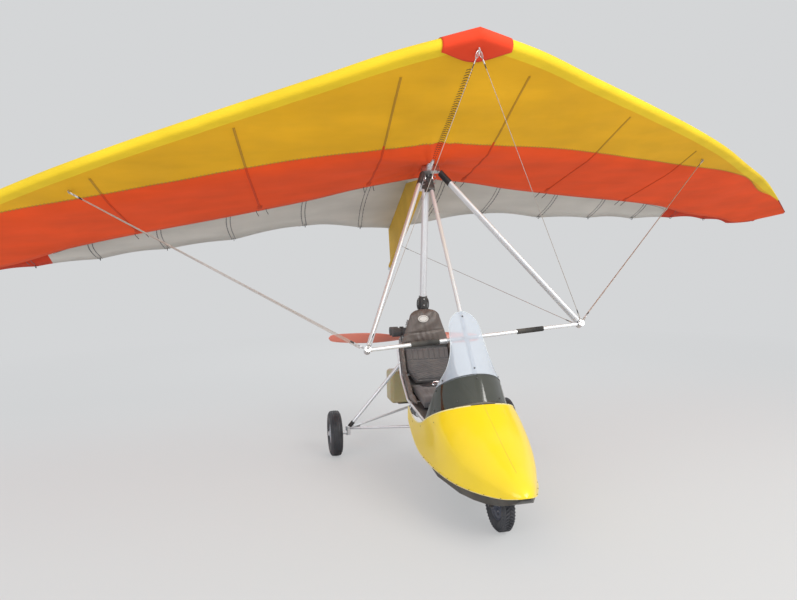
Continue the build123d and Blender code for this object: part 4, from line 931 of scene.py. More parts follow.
# One half of the sail: skin, batten pockets and seam tapes
def makeSail(hand, name, replaced):
    # the stations lie closer towards the keel, where the cloth is creased
    ends = [sail["ribs"][-1][0] * (i / sail["stations"]) ** 1.3 for i in range(sail["stations"] + 1)]
    points, faceLooks = [], []
    names = ["yellowCloth", "ochreCloth", "redCloth", "whiteCloth", "darkRedCloth", "seamTape", "whiteSeam",
             "shadedTipCloth", "redSeam", "greySeam"]
    for x in ends:
        outline, looks = ribOutline(x)
        points += [onWing(hand * x, p.x, p.y) for p in outline]
        faceLooks += [names.index(row) for row in looks]
    wide = len(outline)
    faces = [face[::hand] for face in gridFaces(len(ends), wide)]
    skin = newPiece(name, points, faces, names, faceLooks, angle=60)
    girth = sum((a - b).length for a, b in zip(points[:wide], points[1:wide]))
    thicken(skin, sail["thickness"], -1)
    extra, extraFaces, extraLooks = [], [], []

    def addRibbon(rows, material):
        fresh = gridFaces(len(rows), len(rows[0]), base=len(extra))
        for row in rows:
            extra.extend(onWing(hand * x, y, z) for x, y, z in row)
        extraFaces.extend(fresh)
        extraLooks.extend([names.index(material)] * len(fresh))

    # stitch at the first place, turned towards the second
    def stitch(first, second, lower, drop):
        spot, beside = (onWing(hand * x, y, skinHeight(x, y, lower) - drop) for x, y in (first, second))
        return spot, -liftLine, beside - spot

    for station in sail["battens"]:
        shape = ribShape(station)
        start, end = shape["leading"] + 0.08, shape["tail"].x - 0.004
        line = [(station, start + (end - start) * i / 24) for i in range(25)]
        # on the red tip the seams under the upper skin take the same darker red, a painted shade
        above, below = ("redCloth", "shadedTipCloth") if station > sail["redTip"] else ("whiteSeam", "greySeam")
        offset, width, height = sail["pocketSeams"]["above"]
        for hem in (-offset, offset):
            addRibbon(ribbon([(x + hem, y) for x, y in line], width, height, False), above)
        tail = [(x, y) for x, y in line if y > shape["rear"].x - 0.02]
        offset, width, height = sail["pocketSeams"]["below"]
        for hem in (-offset, offset):
            bowed = [(x + hem + bow(shape, y), y) for x, y in tail]
            addRibbon(ribbon(bowed, width, height, False), below)
    for (x0, y0), (x1, y1) in underBattens:
        line = [(x0 + (x1 - x0) * i / 24, y0 + (y1 - y0) * i / 24) for i in range(25)]
        front = [spot for spot in line if spot[1] < stripeAt(spot[0])]
        addRibbon(ribbon(front, *sail["underBatten"], True), "seamTape")
        addRibbon(ribbon(line[len(front) - 1:], *sail["underBatten"], True), "redSeam")
    stripe = [(x, stripeAt(x)) for x in ends[1::2] if x < sail["stripeEnd"]]
    addRibbon(ribbon(stripe, *sail["stripeTape"], True), "seamTape")
    strip = [(x, ribShape(x)["rear"].x + 0.085) for x in ends[4:] if x < sail["redTip"]]
    addRibbon(ribbon(strip, *sail["stripSeam"], False), "greySeam")
    row = stitching["stripe"]
    for offset in (-row["apart"], row["apart"]):
        spots = []
        for i in range(row["count"]):
            x = row["from"] + row["run"] * i / row["count"]
            spots.append(stitch(*((px, stripeAt(px) + offset) for px in (x, x + 0.01)), True, row["sink"]))
        stitchRows.append(blocks("stitches", spots, "thread", *row["size"]))
    # batten pockets of the white strip are sewn down by two rows of short stitches
    spots = []
    row = stitching["pocket"]
    for station in sail["battens"][:sail["tailLoops"]]:
        shape = ribShape(station)
        rear, tail = shape["rear"].x, shape["tail"].x
        for offset in (-row["apart"], row["apart"]):
            for i in range(row["count"]):
                y = rear + row["from"] + (tail - rear - row["short"]) * i / row["count"]
                x = station + offset + bow(shape, y)
                spots.append(stitch((x, y), (x, y + 0.01), False, row["sink"]))
    stitchRows.append(blocks("pocketStitches", spots, "greySeam", *row["size"]))
    # a tab and two ties hold each under-batten's rear end
    for (x0, y0), (x1, y1) in underBattens:
        line = [(x1, y1 - 0.040 + 0.014 * i) for i in range(6)]
        addRibbon(ribbon(line, *sail["tab"], True), "redSeam")
        for across in (-0.055, 0.03):
            rear = ribShape(x1 + across)["rear"]
            cord = [onWing(hand * (x1 + across + x), rear.x + y, rear.y + z) for x, y, z in tie]
            hookLoops.append(tubePiece("tie", cord, 0.0030, "blackPlastic", 6))
    # lacing along the keel, each turn slanted aft
    spots = []
    row = stitching["lacing"]
    for i in range(row["count"]):
        x, y = row["across"], row["from"] + row["run"] * i / row["count"]
        height = skinHeight(x, y, True) - row["sink"]
        spot, beside = (onWing(hand * (x + step), y + 0.5 * step, height) for step in (0, 0.01))
        spots.append((spot, -liftLine, beside - spot))
    stitchRows.append(blocks("lacing", spots, "blackPatch", *row["size"]))
    # a cord loop holds each batten's tail
    for station in sail["battens"][:sail["tailLoops"]]:
        shape = ribShape(station)
        tip = onWing(hand * station, shape["tail"].x - 0.018, shape["tail"].y - 0.004)
        ring = [tip + keelLine * 0.016 * cos(t) - liftLine * (0.010 + 0.010 * sin(t)) for t in angles(16)]
        hookLoops.append(tubePiece("loop", ring, 0.0024, "blackPlastic", 6, closed=True))
    trim = newPiece(name + "Trim", extra, extraFaces, names, extraLooks, angle=80)
    for piece in (skin, trim):
        place(piece, "wing", "sail_cloth")
    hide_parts(replaced)
    edge = sum((ribShape(b)["front"] - ribShape(a)["front"]).length for a, b in zip(ends, ends[1:]))


noseCap = {
    "half": 0.245,
    "gap": 0.0045,
    "lowerEdge": -1.270,     # lower edge on the centre line
    "hoodShare": 0.15,       # share of the upper skin's hump that the cap covers
    "columns": 28,
}


# Hood of cloth that wraps the nose
def makeNoseCap():
    points = []
    columns = noseCap["columns"]
    for column in range(columns + 1):
        x = noseCap["half"] * (2 * column / columns - 1)
        bulge = noseCap["gap"] * (1 + 0.6 * cos(pi * x / noseCap["half"] / 2))
        shape = ribShape(abs(x), bulge)
        covered = [1 - noseCap["hoodShare"] * (1 - i / 6) for i in range(6)]
        section = [arcPoint(shape["crest"], shape["hump"], shape["top"], share) for share in covered]
        section += [arcPoint(shape["top"], shape["front"], shape["bottom"], i / 12) for i in range(12)]
        side = (abs(x) / noseCap["half"]) ** 2
        edge = noseCap["lowerEdge"] * (1 - side) + (shape["leading"] + 0.055) * side
        start = shape["bottom"].x
        for i in range(9):
            y = start + (edge - start) * i / 8
            section.append(Vector((y, lowerHeight(shape, y) - 0.001 * sin(pi * i / 8))))
        points += [onWing(x, p.x, p.y) for p in section]
    faces = gridFaces(columns + 1, len(section), rowsFirst=True)
    cap = newPiece("noseCap", points, faces, ["capCloth"], angle=70)
    thicken(cap, 0.0022)
    place(cap, "wing", "cap_cloth", "nose_cap")


# Pod: station, rim height, half width at the rim, shoulder half width and height, crown height
pod = {
    "sections": [
        (-1.905, 0.352, 0.008, 0.007, 0.356, 0.360),
        (-1.893, 0.347, 0.038, 0.036, 0.356, 0.375),
        (-1.870, 0.340, 0.065, 0.062, 0.360, 0.396),
        (-1.825, 0.328, 0.098, 0.094, 0.366, 0.425),
        (-1.755, 0.316, 0.135, 0.130, 0.378, 0.461),
        (-1.665, 0.308, 0.182, 0.176, 0.394, 0.505),
        (-1.565, 0.303, 0.226, 0.220, 0.418, 0.558),
        (-1.435, 0.300, 0.268, 0.262, 0.465, 0.634),
        (-1.285, 0.300, 0.297, 0.292, 0.530, 0.721),
        (-1.105, 0.300, 0.314, 0.311, 0.600, 0.820),
        (-0.850, 0.300, 0.320, 0.318, 0.620, 0.900),
        (-0.270, 0.300, 0.310, 0.308, 0.620, 0.900),
    ],
    "fullness": 0.74,
    "stations": 90,
    "wall": 0.004,
    "edge": [(-1.365, 0.802), (-0.850, 0.556), (-0.600, 0.512), (-0.395, 0.565)],
    "tail": [(-0.385, 0.470), (-0.590, 0.345), (-0.850, 0.300)],
    "lipRadius": 0.0055,
    "lipFrom": -1.262,
    "flange": 0.0078,
    "flangeFrom": -1.888,
    "flangeRun": 1.038,
    "ridgeFrom": -1.268,
    "ridgeRun": 0.50,
    # stations and heights of the side screws
    "screws": ((-0.545, 0.485), (-0.80, 0.512), (-1.10, 0.612)),
}


# Half outline of the pod from the bottom edge to the crown's ridge
def podSection(station):
    low, half, shoulderHalf, shoulder, top = between(pod["sections"], station)[1:]
    bulge = (0.62 * shoulderHalf, shoulder + pod["fullness"] * (top - shoulder))
    side = [Vector((half + (shoulderHalf - half) * i / 6, low + (shoulder - low) * i / 6)) for i in range(6)]
    crown = [arcPoint((shoulderHalf, shoulder), bulge, (0, top), i / 18) for i in range(19)]
    outline = side + crown
    for _ in range(2):   # the shoulder is a soft bend, not a crease
        outline = [outline[0]] + [(outline[i - 1] + outline[i] * 2 + outline[i + 1]) / 4
                                  for i in range(1, len(outline) - 1)] + [outline[-1]]
    return outline


# Half width of a pod outline at a height
def reachAt(outline, height):
    for low, high in zip(outline, outline[1:]):
        if low.y <= height <= high.y:
            return low.x + (high.x - low.x) * (height - low.y) / max(high.y - low.y, 1e-6)


# Prism across X through a side outline, for a boolean cut
def cutter(name, outline, half):
    count = len(outline)
    points = [(x, y + shift, z) for x in (-half, half) for y, z in outline]
    faces = [tuple(range(count)), tuple(reversed(range(count, 2 * count)))]
    faces += [(i, i + count, (i + 1) % count + count, (i + 1) % count) for i in range(count)]
    mesh = bpy.data.meshes.new(name)
    mesh.from_pydata(points, [], faces)
    tool = addObject(name, mesh)
    cleanMesh(tool, near=0)
    return tool


podEdges = {}   # the cockpit's edge on each hand, from the front to the rear, once the pod is made


# Side outline of the cockpit's edge and the pod's rear end, as stations and heights
def podEdge(steps):
    front, side, dip, rear = pod["edge"]
    line = [Vector(front).lerp(Vector(side), i / steps) for i in range(steps)]
    line += [arcPoint(side, dip, rear, i / steps) for i in range(steps + 1)]
    line += [arcPoint(*pod["tail"], i / steps) for i in range(steps + 1)]
    return line


# Smooth moulded shell with its cockpit edge, tail cut and rim flange
def makePod():
    sections = pod["sections"]
    first, last = sections[0][0], sections[-1][0]
    points = []
    for number in range(pod["stations"] + 1):
        share = number / pod["stations"]
        station = first + (last - first) * share ** 1.6
        half = podSection(station)
        outline = [(x, z) for x, z in half] + [(-x, z) for x, z in reversed(half[:-1])]
        points += [(x, station + shift, z) for x, z in outline]
    wide = len(outline)
    faces = gridFaces(pod["stations"] + 1, wide, rowsFirst=True) + [tuple(range(wide))]
    shell = newPiece("podShell", points, faces, ["podPaint", "podInside"], angle=32)
    cleanMesh(shell)
    withModifier(shell, "SOLIDIFY", thickness=pod["wall"], offset=-1, material_offset=1)
    edge = [tuple(p) for p in podEdge(16)]
    top = edge[:33]   # the cockpit's part of the outline
    tools = (cutter("cockpitCut", top + [(0.0, top[-1][1]), (0.0, 1.0), (top[0][0], 1.0)], 0.4),
             cutter("tailCut", edge[32:] + [(edge[-1][0], 0.1), (0.01, 0.1), (0.01, edge[32][1])], 0.4))
    for tool in tools:
        withModifier(shell, "BOOLEAN", object=tool, operation="DIFFERENCE", solver="EXACT")
    applyModifiers(shell)
    for tool in tools:
        bpy.data.objects.remove(tool)
    smoothByAngle(shell, 32)
    place(shell, "trike", "pod_paint", "pod_body")

    # flange round the rim, and the rolled lip along the cockpit and the rear end
    points = []
    stations = [pod["flangeFrom"] + pod["flangeRun"] * i / 60 for i in range(61)]
    ring = [(-1, station) for station in reversed(stations)] + [(1, station) for station in stations]
    section = ((-0.004, 0.0030), (0.55, 0.0030), (1, 0.0022), (1, 0.0008), (0.55, 0), (-0.004, 0))
    for hand, station in ring:
        row = between(sections, station)
        for out, rise in section:
            reach = out * pod["flange"] if out > 0 else out
            points.append((hand * (row[2] + reach), station + shift, row[1] + rise))
    faces = gridFaces(len(ring), len(section), rowsFirst=True)
    flange = newPiece("podFlange", points, faces, ["podEdge"], angle=60)
    lips = []
    for hand in (1, -1):
        path = []
        for spot in podEdge(40):
            reach = None if spot.x < pod["lipFrom"] else reachAt(podSection(spot.x), spot.y)
            if reach is not None:
                path.append((hand * (reach - 0.002), spot.x + shift, spot.y))
        lips.append(tubePiece("lip", path, pod["lipRadius"], "podEdge", 10))
        podEdges[hand] = [Vector(spot) for spot in path]
    place(joinPieces("podLip", [flange] + lips), "trike", "pod_paint")

    # fine ridge line down the middle of the crown
    line = []
    for i in range(41):
        station = pod["ridgeFrom"] - pod["ridgeRun"] * i / 40
        line.append(Vector((0, station + shift, between(sections, station)[5] + 0.0003)))
    seam = tubePiece("podSeam", line, 0.0011, "podSeam", 8)
    place(seam, "trike", "pod_paint")
    spots = []
    for hand in (1, -1):
        for station, height in pod["screws"]:
            reach = reachAt(podSection(station), height)
            spots.append(((hand * (reach + 0.0005), station + shift, height), (hand, 0, 0.12)))
        for i in range(9):
            station = -1.80 + 0.115 * i
            row = between(sections, station)
            spots.append(((hand * (row[2] + 0.003), station + shift, row[1] + 0.0032), (0, 0, 1)))
    place(heads("podScrews", spots, 0.0036, 0.0022, "blackSteel"), "trike", "black_fitting")


# Screen: centre height, half width, how far the sides lie behind the centre, their height, first angle
screen = {
    "levels": [(0.746, 0.304, 0.385, 0.550, 0), (0.918, 0.238, 0.165, 0.812, 12),
               (1.010, 0.165, 0.054, 0.972, 28), (1.100, 0.130, 0.022, 1.092, 40),
               (1.213, 0.117, 0.008, 1.210, 45), (1.345, 0.110, 0.006, 1.343, 45)],
    "top": 1.330,
    "roundHeight": 1.213,
    "strutTop": (-0.113, 2.320),
    "strutFoot": (-1.372, 0.5245),
    "standOff": 0.0163,
    "thickness": 0.003,
    "columns": 40,
    # lower and upper height and rows of each sheet
    "clear": (0.912, 1.3298, 46),
    "smoked": (0.747, 0.918, 16),
    # heights and shares across of the screws
    "screws": ((1.295, 0.0), (0.955, 0.0), (0.892, 0.0), (0.935, 0.80), (0.935, -0.80), (0.90, 0.93),
               (0.90, -0.93), (0.775, 0.35), (0.775, -0.35), (0.775, 0.75), (0.775, -0.75)),
}


# Point of the screen at a centre height and a share from -1 to 1 across
def screenPoint(height, share, lift=0.0):
    half, sweep, sideHeight, first = between(screen["levels"], height)[1:]
    top, foot = (Vector((0, y + shift, z)) for y, z in (screen["strutTop"], screen["strutFoot"]))
    strutLine = (foot - top).normalized()
    out = Vector((0, strutLine.z, -strutLine.y))
    middle = top.lerp(foot, (top.z - height) / (top.z - foot.z)) + out * (screen["standOff"] + lift)
    drop = Vector((0, -sweep, middle.z - sideHeight))
    first = radians(first)
    rise = drop.length / (1 - sin(first))
    reach = half / cos(first)
    angle = pi / 2 - share * (pi / 2 - first)
    if height > screen["roundHeight"]:
        dome = screen["top"] - screen["roundHeight"]
        limit = min(sqrt(max(dome ** 2 - (height - screen["roundHeight"]) ** 2, 0)), half)
        angle = pi / 2 - (1 if share > 0 else -1) * (pi / 2 - acos(min(abs(share) * limit / reach, 1)))
    return middle + Vector(((reach + lift) * cos(angle), 0, 0)) + drop.normalized() * rise * (sin(angle) - 1)


def makeScreenSheet(name, low, high, rows, material, slot, replaced):
    points = []
    columns = screen["columns"]
    for i in range(rows + 1):
        share = i / rows
        height = low + (high - low) * (sin(share * pi / 2) if high > 1.2 else share)
        points += [screenPoint(height, 2 * k / columns - 1) for k in range(columns + 1)]
    sheet = newPiece(name, points, gridFaces(rows + 1, columns + 1), [material], angle=60)
    cleanMesh(sheet, near=1e-4, outwards=False)
    thicken(sheet, screen["thickness"], 1)
    smoothByAngle(sheet, 60)
    place(sheet, "trike", slot, replaced)


def makeScreen():
    makeScreenSheet("windscreenSheet", *screen["clear"], "clearScreenSkyPainted", "screen_clear", "windscreen")
    makeScreenSheet("cowlSheet", *screen["smoked"], "smokedScreen", "screen_smoked", "screen_cowl")
    seam = [screenPoint(0.9165, i / 30 - 1, 0.0034) for i in range(61)]
    rims = [tubePiece("seam", seam, 0.0022, "blackPlastic", 8)]
    points = []
    for i in range(61):
        high = screenPoint(0.749, i / 30 - 1, 0.0012)
        edge = podEdges[1 if high.x > 0 else -1]
        low = min(edge, key=lambda spot: abs(abs(spot.x) - abs(high.x)) + (1 if spot.y > -0.6 else 0))
        low = Vector((high.x, low.y, low.z))
        points += [high, high.lerp(low, 0.5) + Vector((0, -0.002, 0.004)), low + Vector((0, 0, 0.001))]
    strip = newPiece("cowlSeal", points, gridFaces(61, 3, rowsFirst=True), ["seal"], angle=60)
    thicken(strip, 0.003)
    rims.append(strip)
    for hand in (-1, 1):
        rims.append(tubePiece("rim", [screenPoint(0.92 + 0.41 * sin(i * pi / 80), hand * 0.998, 0.0015)
                                      for i in range(41)], 0.0021, "clearEdge", 8))
    place(joinPieces("screenTrim", rims), "trike", "black_plastic")
    spots = []
    for height, share in screen["screws"]:
        spot, near, up = (screenPoint(height + rise, share + across, 0.0036)
                          for rise, across in ((0, 0), (0, 0.01), (0.005, 0)))
        spots.append((spot, (near - spot).cross(up - spot)))
    place(heads("screenScrews", spots, 0.0065, 0.004, "blackSteel"), "trike", "black_fitting")


padFrames = 20
padCloth = {"quality": 4, "mass": 0.2, "tension_stiffness": 12, "bending_stiffness": 0.4,
            "use_pressure": True, "uniform_pressure_force": 4.0, "vertex_group_mass": "sewn"}


# Soft pads are remeshed, blown up a little by a cloth run, and held back to a short move
def puff(piece, voxel, reach, pinned):
    withModifier(piece, "REMESH", mode="VOXEL", voxel_size=voxel, use_smooth_shade=True)
    applyModifiers(piece)
    start = [vertex.co.copy() for vertex in piece.data.vertices]
    group = piece.vertex_groups.new(name="sewn")
    held = [number for number, spot in enumerate(start) if pinned(spot)]
    group.add(held, 1.0, "REPLACE")
    cloth = piece.modifiers.new("cloth", "CLOTH")
    for key, value in padCloth.items():
        setattr(cloth.settings, key, value)
    cloth.settings.effector_weights.gravity = 0
    cloth.collision_settings.use_collision = False
    cloth.point_cache.frame_start, cloth.point_cache.frame_end = 1, padFrames
    for number in range(1, padFrames + 1):
        scene.frame_set(number)
    solved = piece.evaluated_get(bpy.context.evaluated_depsgraph_get()).data
    moved = [vertex.co.copy() for vertex in solved.vertices]
    piece.modifiers.clear()
    piece.vertex_groups.clear()
    scene.frame_set(1)
    for vertex, old, new in zip(piece.data.vertices, start, moved):
        step = new - old
        vertex.co = old + step * min(1, reach / max(step.length, 1e-9))
    withModifier(piece, "SMOOTH", factor=0.5, iterations=3)
    withModifier(piece, "SUBSURF", levels=1, render_levels=1)
    applyModifiers(piece)
    smoothByAngle(piece, 180)


# A pad is a closed form over a grid: across, along its face and through its thickness
def padForm(name, material, rows, columns, surface):
    points, faces = [], []
    for side in (0, 1):
        for i in range(rows + 1):
            for k in range(columns + 1):
                points.append(surface(2 * k / columns - 1, i / rows, side))
    wide = columns + 1
    count = wide * (rows + 1)
    for i in range(rows):
        for k in range(columns):
            a, b = i * wide + k, (i + 1) * wide + k
            faces += [(a, a + 1, b + 1, b), (count + b, count + b + 1, count + a + 1, count + a)]
    loop = list(range(wide)) + [i * wide + columns for i in range(1, rows + 1)]
    loop += [rows * wide + k for k in range(columns - 1, -1, -1)] + [i * wide for i in range(rows - 1, 0, -1)]
    faces += [(loop[i], loop[(i + 1) % len(loop)], loop[(i + 1) % len(loop)] + count, loop[i] + count)
              for i in range(len(loop))]
    piece = newPiece(name, points, faces, [material])
    cleanMesh(piece)
    return piece


seat = {
    "path": [(0.207, 0.978), (0.095, 0.730), (-0.144, 0.559), (-0.700, 0.500)],
    "headRear": 0.1950,
    "headThick": 0.050,
    "headLow": 0.980,
    "headTall": 0.315,
    "headFoot": (0.975, 0.230),            # height and half width where its sides start to lean in
    "headDome": (1.225, 0.0745, 0.142),    # where its round top starts, the top's height and half width
    "patch": (-0.026, 1.212),
}


# Half width of the headrest at a share of its height
def headOutline(share):
    height = seat["headLow"] + seat["headTall"] * share
    foot, footHalf = seat["headFoot"]
    dome, domeTall, domeHalf = seat["headDome"]
    if height < dome:
        return footHalf - (footHalf - domeHalf) * (height - foot) / (dome - foot)
    return sqrt(max(1 - ((height - dome) / domeTall) ** 2, 0)) * domeHalf


def makeHeadrest():
    def surface(across, up, rear):
        height = seat["headLow"] + seat["headTall"] * up
        half = max(headOutline(up), 0.012) * (0.97 if rear else 1)
        crown = (1 - abs(across) ** 3) * (1 - abs(2 * up - 1) ** 4) ** 0.5
        deep = seat["headThick"] * (0.35 + 0.65 * crown)
        fold = 0.004 * sin(26 * across + 9 * up) * (1 - up) ** 2 + 0.003 * sin(21 * up - 5 * across)
        station = seat["headRear"] if rear else seat["headRear"] - deep + fold * crown
        return Vector((half * across, station + shift, height))
    head = padForm("headrest", "seatVinyl", 30, 30, surface)
    puff(head, 0.006, 0.008, lambda spot: spot.y > seat["headRear"] + shift - 0.004)
    # wrinkles of the loose cover: pulled lines that fan out from the lower corners
    for vertex in head.data.vertices:
        spot = vertex.co
        if spot.y < seat["headRear"] + shift - 0.012:
            up = (spot.z - 0.98) / 0.32
            fan = atan2(spot.z - 0.93, abs(spot.x) + 0.05)
            lines = sin(15 * fan + 4 * sin(9 * spot.x)) * exp(-3.2 * up) * 0.0042
            band = -0.006 * exp(-((up - 0.36 - 0.25 * spot.x) / 0.030) ** 2)
            vertex.co.y -= lines + band * (1 if abs(spot.x) > 0.02 else 0.6)
    place(head, "trike", "seat_vinyl", "seat_back")
    # bare oval patch with a thin dark ring
    x, z = seat["patch"]
    near = [vertex.co.y for vertex in head.data.vertices
            if abs(vertex.co.x - x) < 0.05 and abs(vertex.co.z - z) < 0.034]
    centre = Vector((x, min(near) - 0.0030, z))
    lean = Vector((0, -1, 0.12)).normalized()
    up = Vector((0, 0.12, 1)).normalized()
    parts = []
    for name, wide, tall, rise, material in (("oval", 0.047, 0.031, 0, "patchWhite"),
                                             ("ring", 0.038, 0.0235, 0.0010, "blackPatch"),
                                             ("middle", 0.0355, 0.0212, 0.0017, "patchWhite")):
        rim = [centre + Vector((wide * cos(t), 0, 0)) + up * tall * sin(t) + lean * rise for t in angles(40)]
        disc = newPiece(name, [p - lean * 0.012 for p in rim] + rim, barFaces(2, 40), [material])
        cleanMesh(disc)
        smoothByAngle(disc, 50)
        parts.append(disc)
    place(joinPieces("headrestPatch", parts), "trike", "seat_vinyl")


backPad = {
    "top": (0.118, 0.968),
    "bottom": (-0.010, 0.677),
    "half": 0.196,
    "waist": (0.62, 0.062),     # share of the way down from which it narrows, and by how much in the end
    "depth": 0.055,
    "channels": 8,
    # depth of the seams across, their share of the way down and their width
    "seams": ((0.008, 0.37, 0.014), (0.006, 0.055, 0.012), (0.006, 0.93, 0.014)),
}


def makeBackPad():
    top, bottom = backPad["top"], backPad["bottom"]
    full, (waist, narrowed) = backPad["half"], backPad["waist"]
    along = Vector((0, bottom[0] - top[0], bottom[1] - top[1]))
    out = Vector((0, along.z, -along.y)).normalized()
    def surface(across, down, rear):
        half = full - narrowed * (max(down - waist, 0) / (1 - waist)) ** 1.2
        spot = Vector((half * across, top[0] + shift, top[1])) + along * (0.015 + 0.97 * down)
        crown = (1 - across ** 8) ** 0.5 * (1 - abs(2 * down - 1) ** 8) ** 0.5
        return spot - out * (backPad["depth"] if rear else 0.016 - 0.010 * crown)
    pad = padForm("backPad", "seatCloth", 24, 30, surface)
    origin = Vector((0, top[0] + shift, top[1]))
    puff(pad, 0.005, 0.006, lambda spot: (origin - spot).dot(out) > 0.045)
    # sewn channels: upright ones in the upper third, one across below them, and a border
    for vertex in pad.data.vertices:
        depth = (origin - vertex.co).dot(out)
        if depth > 0.03:
            continue
        down = (vertex.co - origin).dot(along) / along.length_squared
        wave = 0
        if down < 0.36:
            channel = (vertex.co.x / (2 * full) + 0.5) * backPad["channels"]
            inside = 1 if abs(vertex.co.x) < 0.18 else 0
            wave = 0.0075 * exp(-((channel - round(channel)) / 0.13) ** 2) * inside
        for depth, middle, wide in backPad["seams"]:
            wave = max(wave, depth * exp(-((down - middle) / wide) ** 2))
        ripple = 0.0016 * sin(95 * vertex.co.x + 7 * sin(22 * down)) * (down > 0.4)
        vertex.co -= out * (wave - ripple)
    place(pad, "trike", "seat_cloth", "back_pad")


# each cushion's underside and upper face, seen from the side, and its half width
cushions = {
    "rearCushion": {"lower": [(0.020, 0.6235), (-0.120, 0.576), (-0.270, 0.558), (-0.415, 0.542)],
                    "upper": [(-0.010, 0.662), (-0.150, 0.650), (-0.285, 0.630), (-0.415, 0.606)],
                    "half": 0.182},
    "frontCushion": {"lower": [(-0.446, 0.513), (-0.600, 0.513), (-0.765, 0.513), (-0.926, 0.513)],
                     "upper": [(-0.446, 0.598), (-0.530, 0.585), (-0.640, 0.560), (-0.926, 0.550)],
                     "half": 0.164},
}


# Pad between the two side lines of a cushion
def makeCushion(name, replaced, folds):
    lower, upper, half = (cushions[name][key] for key in ("lower", "upper", "half"))
    def surface(across, share, under):
        line = lower if under else upper
        spot = share * (len(line) - 1)
        i = min(int(spot), len(line) - 2)
        y, z = Vector(line[i]).lerp(Vector(line[i + 1]), spot - i)
        pinch = 1 - 0.05 * (1 - (2 * share - 1) ** 2)
        edge = (1 - across ** 10) ** 0.5 * (1 - (2 * share - 1) ** 10) ** 0.5
        lift = 0 if under else -0.014 + 0.012 * edge + folds(across, share) * edge
        return Vector((half * across * pinch, y + shift, z + lift + (0.002 if under else 0)))
    pad = padForm(name, "seatCloth", 26, 26, surface)
    floor = max(z for y, z in lower) + 0.008
    puff(pad, 0.006, 0.007, lambda spot: spot.z < floor)
    place(pad, "trike", "seat_cloth", replaced)


sideRoll = {
    "steps": 90,
    "ring": 20,
    "legs": 2.35,       # how many legs of the seat's path it follows
    "middle": 0.2225,
    "half": 0.0205,
    "depth": 0.032,
    "proud": 0.030,
}


def makeSeat():
    makeHeadrest()
    makeBackPad()
    makeCushion("rearCushion", "rear_cushion", lambda x, s: 0.004 * sin(24 * x + 5 * s) + 0.003 * sin(17 * s))
    makeCushion("frontCushion", "front_cushion",
                lambda x, s: 0.004 * sin(19 * x + 3) + 0.003 * sin(23 * s + 2 * x))
    # loose upholstery beside the pads, gathered on the inside of the side tubes
    sides = []
    path = [Vector((0, y + shift, z)) for y, z in seat["path"]]
    for hand in (1, -1):
        points = []
        steps, ring = sideRoll["steps"], sideRoll["ring"]
        for i in range(steps + 1):
            share = i / steps * sideRoll["legs"]
            leg = min(int(share), 2)
            spot = path[leg].lerp(path[leg + 1], share - leg)
            along = (path[leg + 1] - path[leg]).normalized()
            if leg and share - leg < 0.25:   # soft bend between two straight runs
                previous = (path[leg] - path[leg - 1]).normalized()
                along = along.lerp(previous, 0.5 - 2 * (share - leg)).normalized()
            out = Vector((0, along.z, -along.y))
            fade = min(1, i / 6, (steps - i) / 8)
            for t in angles(ring):
                fold = 1 + 0.16 * sin(3 * t + 0.42 * i) + 0.10 * sin(0.9 * i + t)
                across = sideRoll["half"] * cos(t) * fade ** 0.5
                deep = sideRoll["depth"] * sin(t) * fold * max(fade, 0.15) - sideRoll["proud"]
                points.append(spot + Vector((hand * (sideRoll["middle"] + across), 0, 0)) - out * deep)
        roll = newPiece("seatSide", points, barFaces(steps + 1, ring), ["seatVinyl"], angle=180)
        cleanMesh(roll)
        withModifier(roll, "SUBSURF", levels=1, render_levels=1)
        applyModifiers(roll)
        smoothByAngle(roll, 180)
        sides.append(roll)
    side = joinPieces("seatSides", sides)
    place(side, "trike", "seat_vinyl")


sling = {
    "path": [(0.205, 0.965), (0.068, 0.645), (-0.115, 0.566), (-0.430, 0.531), (-0.690, 0.504)],
    "half": 0.2385,
    "thickness": 0.0022,
}


# Cloth stretched between the seat's side tubes, under the pads
def makeSling():
    path = [Vector((0, y + shift, z)) for y, z in sling["path"]]
    lengths = [(b - a).length for a, b in zip(path, path[1:])]
    points = []
    rows, columns = 60, 24
    for i in range(rows + 1):
        spot = sum(lengths) * i / rows
        leg = 0
        while spot > lengths[leg] and leg < len(lengths) - 1:
            spot -= lengths[leg]
            leg += 1
        middle = path[leg].lerp(path[leg + 1], min(spot / lengths[leg], 1))
        for k in range(columns + 1):
            across = 2 * k / columns - 1
            ripple = 0.0012 * sin(31 * across + 0.5 * i) * (1 - across ** 4)
            points.append(middle + Vector((sling["half"] * across, ripple, -ripple)))
    cloth = newPiece("seatSling", points, gridFaces(rows + 1, columns + 1), ["belt"], angle=180)
    thicken(cloth, sling["thickness"])
    place(cloth, "trike", "seat_cloth")


belt = {
    "width": 0.042,
    "thickness": 0.0018,
    "buckle": (0, -0.132 + shift, 0.684),
    "bow": (0.036, 0.016, 0.014),      # how far the buckle's ring reaches to the side, ahead and up
    "bowRadius": 0.0042,
}


# Strap laid along a line of points: each has a place and the direction that its face looks to
def strap(line):
    points = []
    for number, (spot, out) in enumerate(line):
        before, after = line[max(number - 1, 0)][0], line[min(number + 1, len(line) - 1)][0]
        side = (Vector(after) - Vector(before)).cross(Vector(out)).normalized() * belt["width"] / 2
        points += [Vector(spot) - side, Vector(spot) + side]
    band = newPiece("strap", points, gridFaces(len(line), 2), ["belt"], angle=60)
    withModifier(band, "SOLIDIFY", thickness=belt["thickness"], offset=0)
    withModifier(band, "BEVEL", width=0.0004, segments=1)
    applyModifiers(band)
    return band


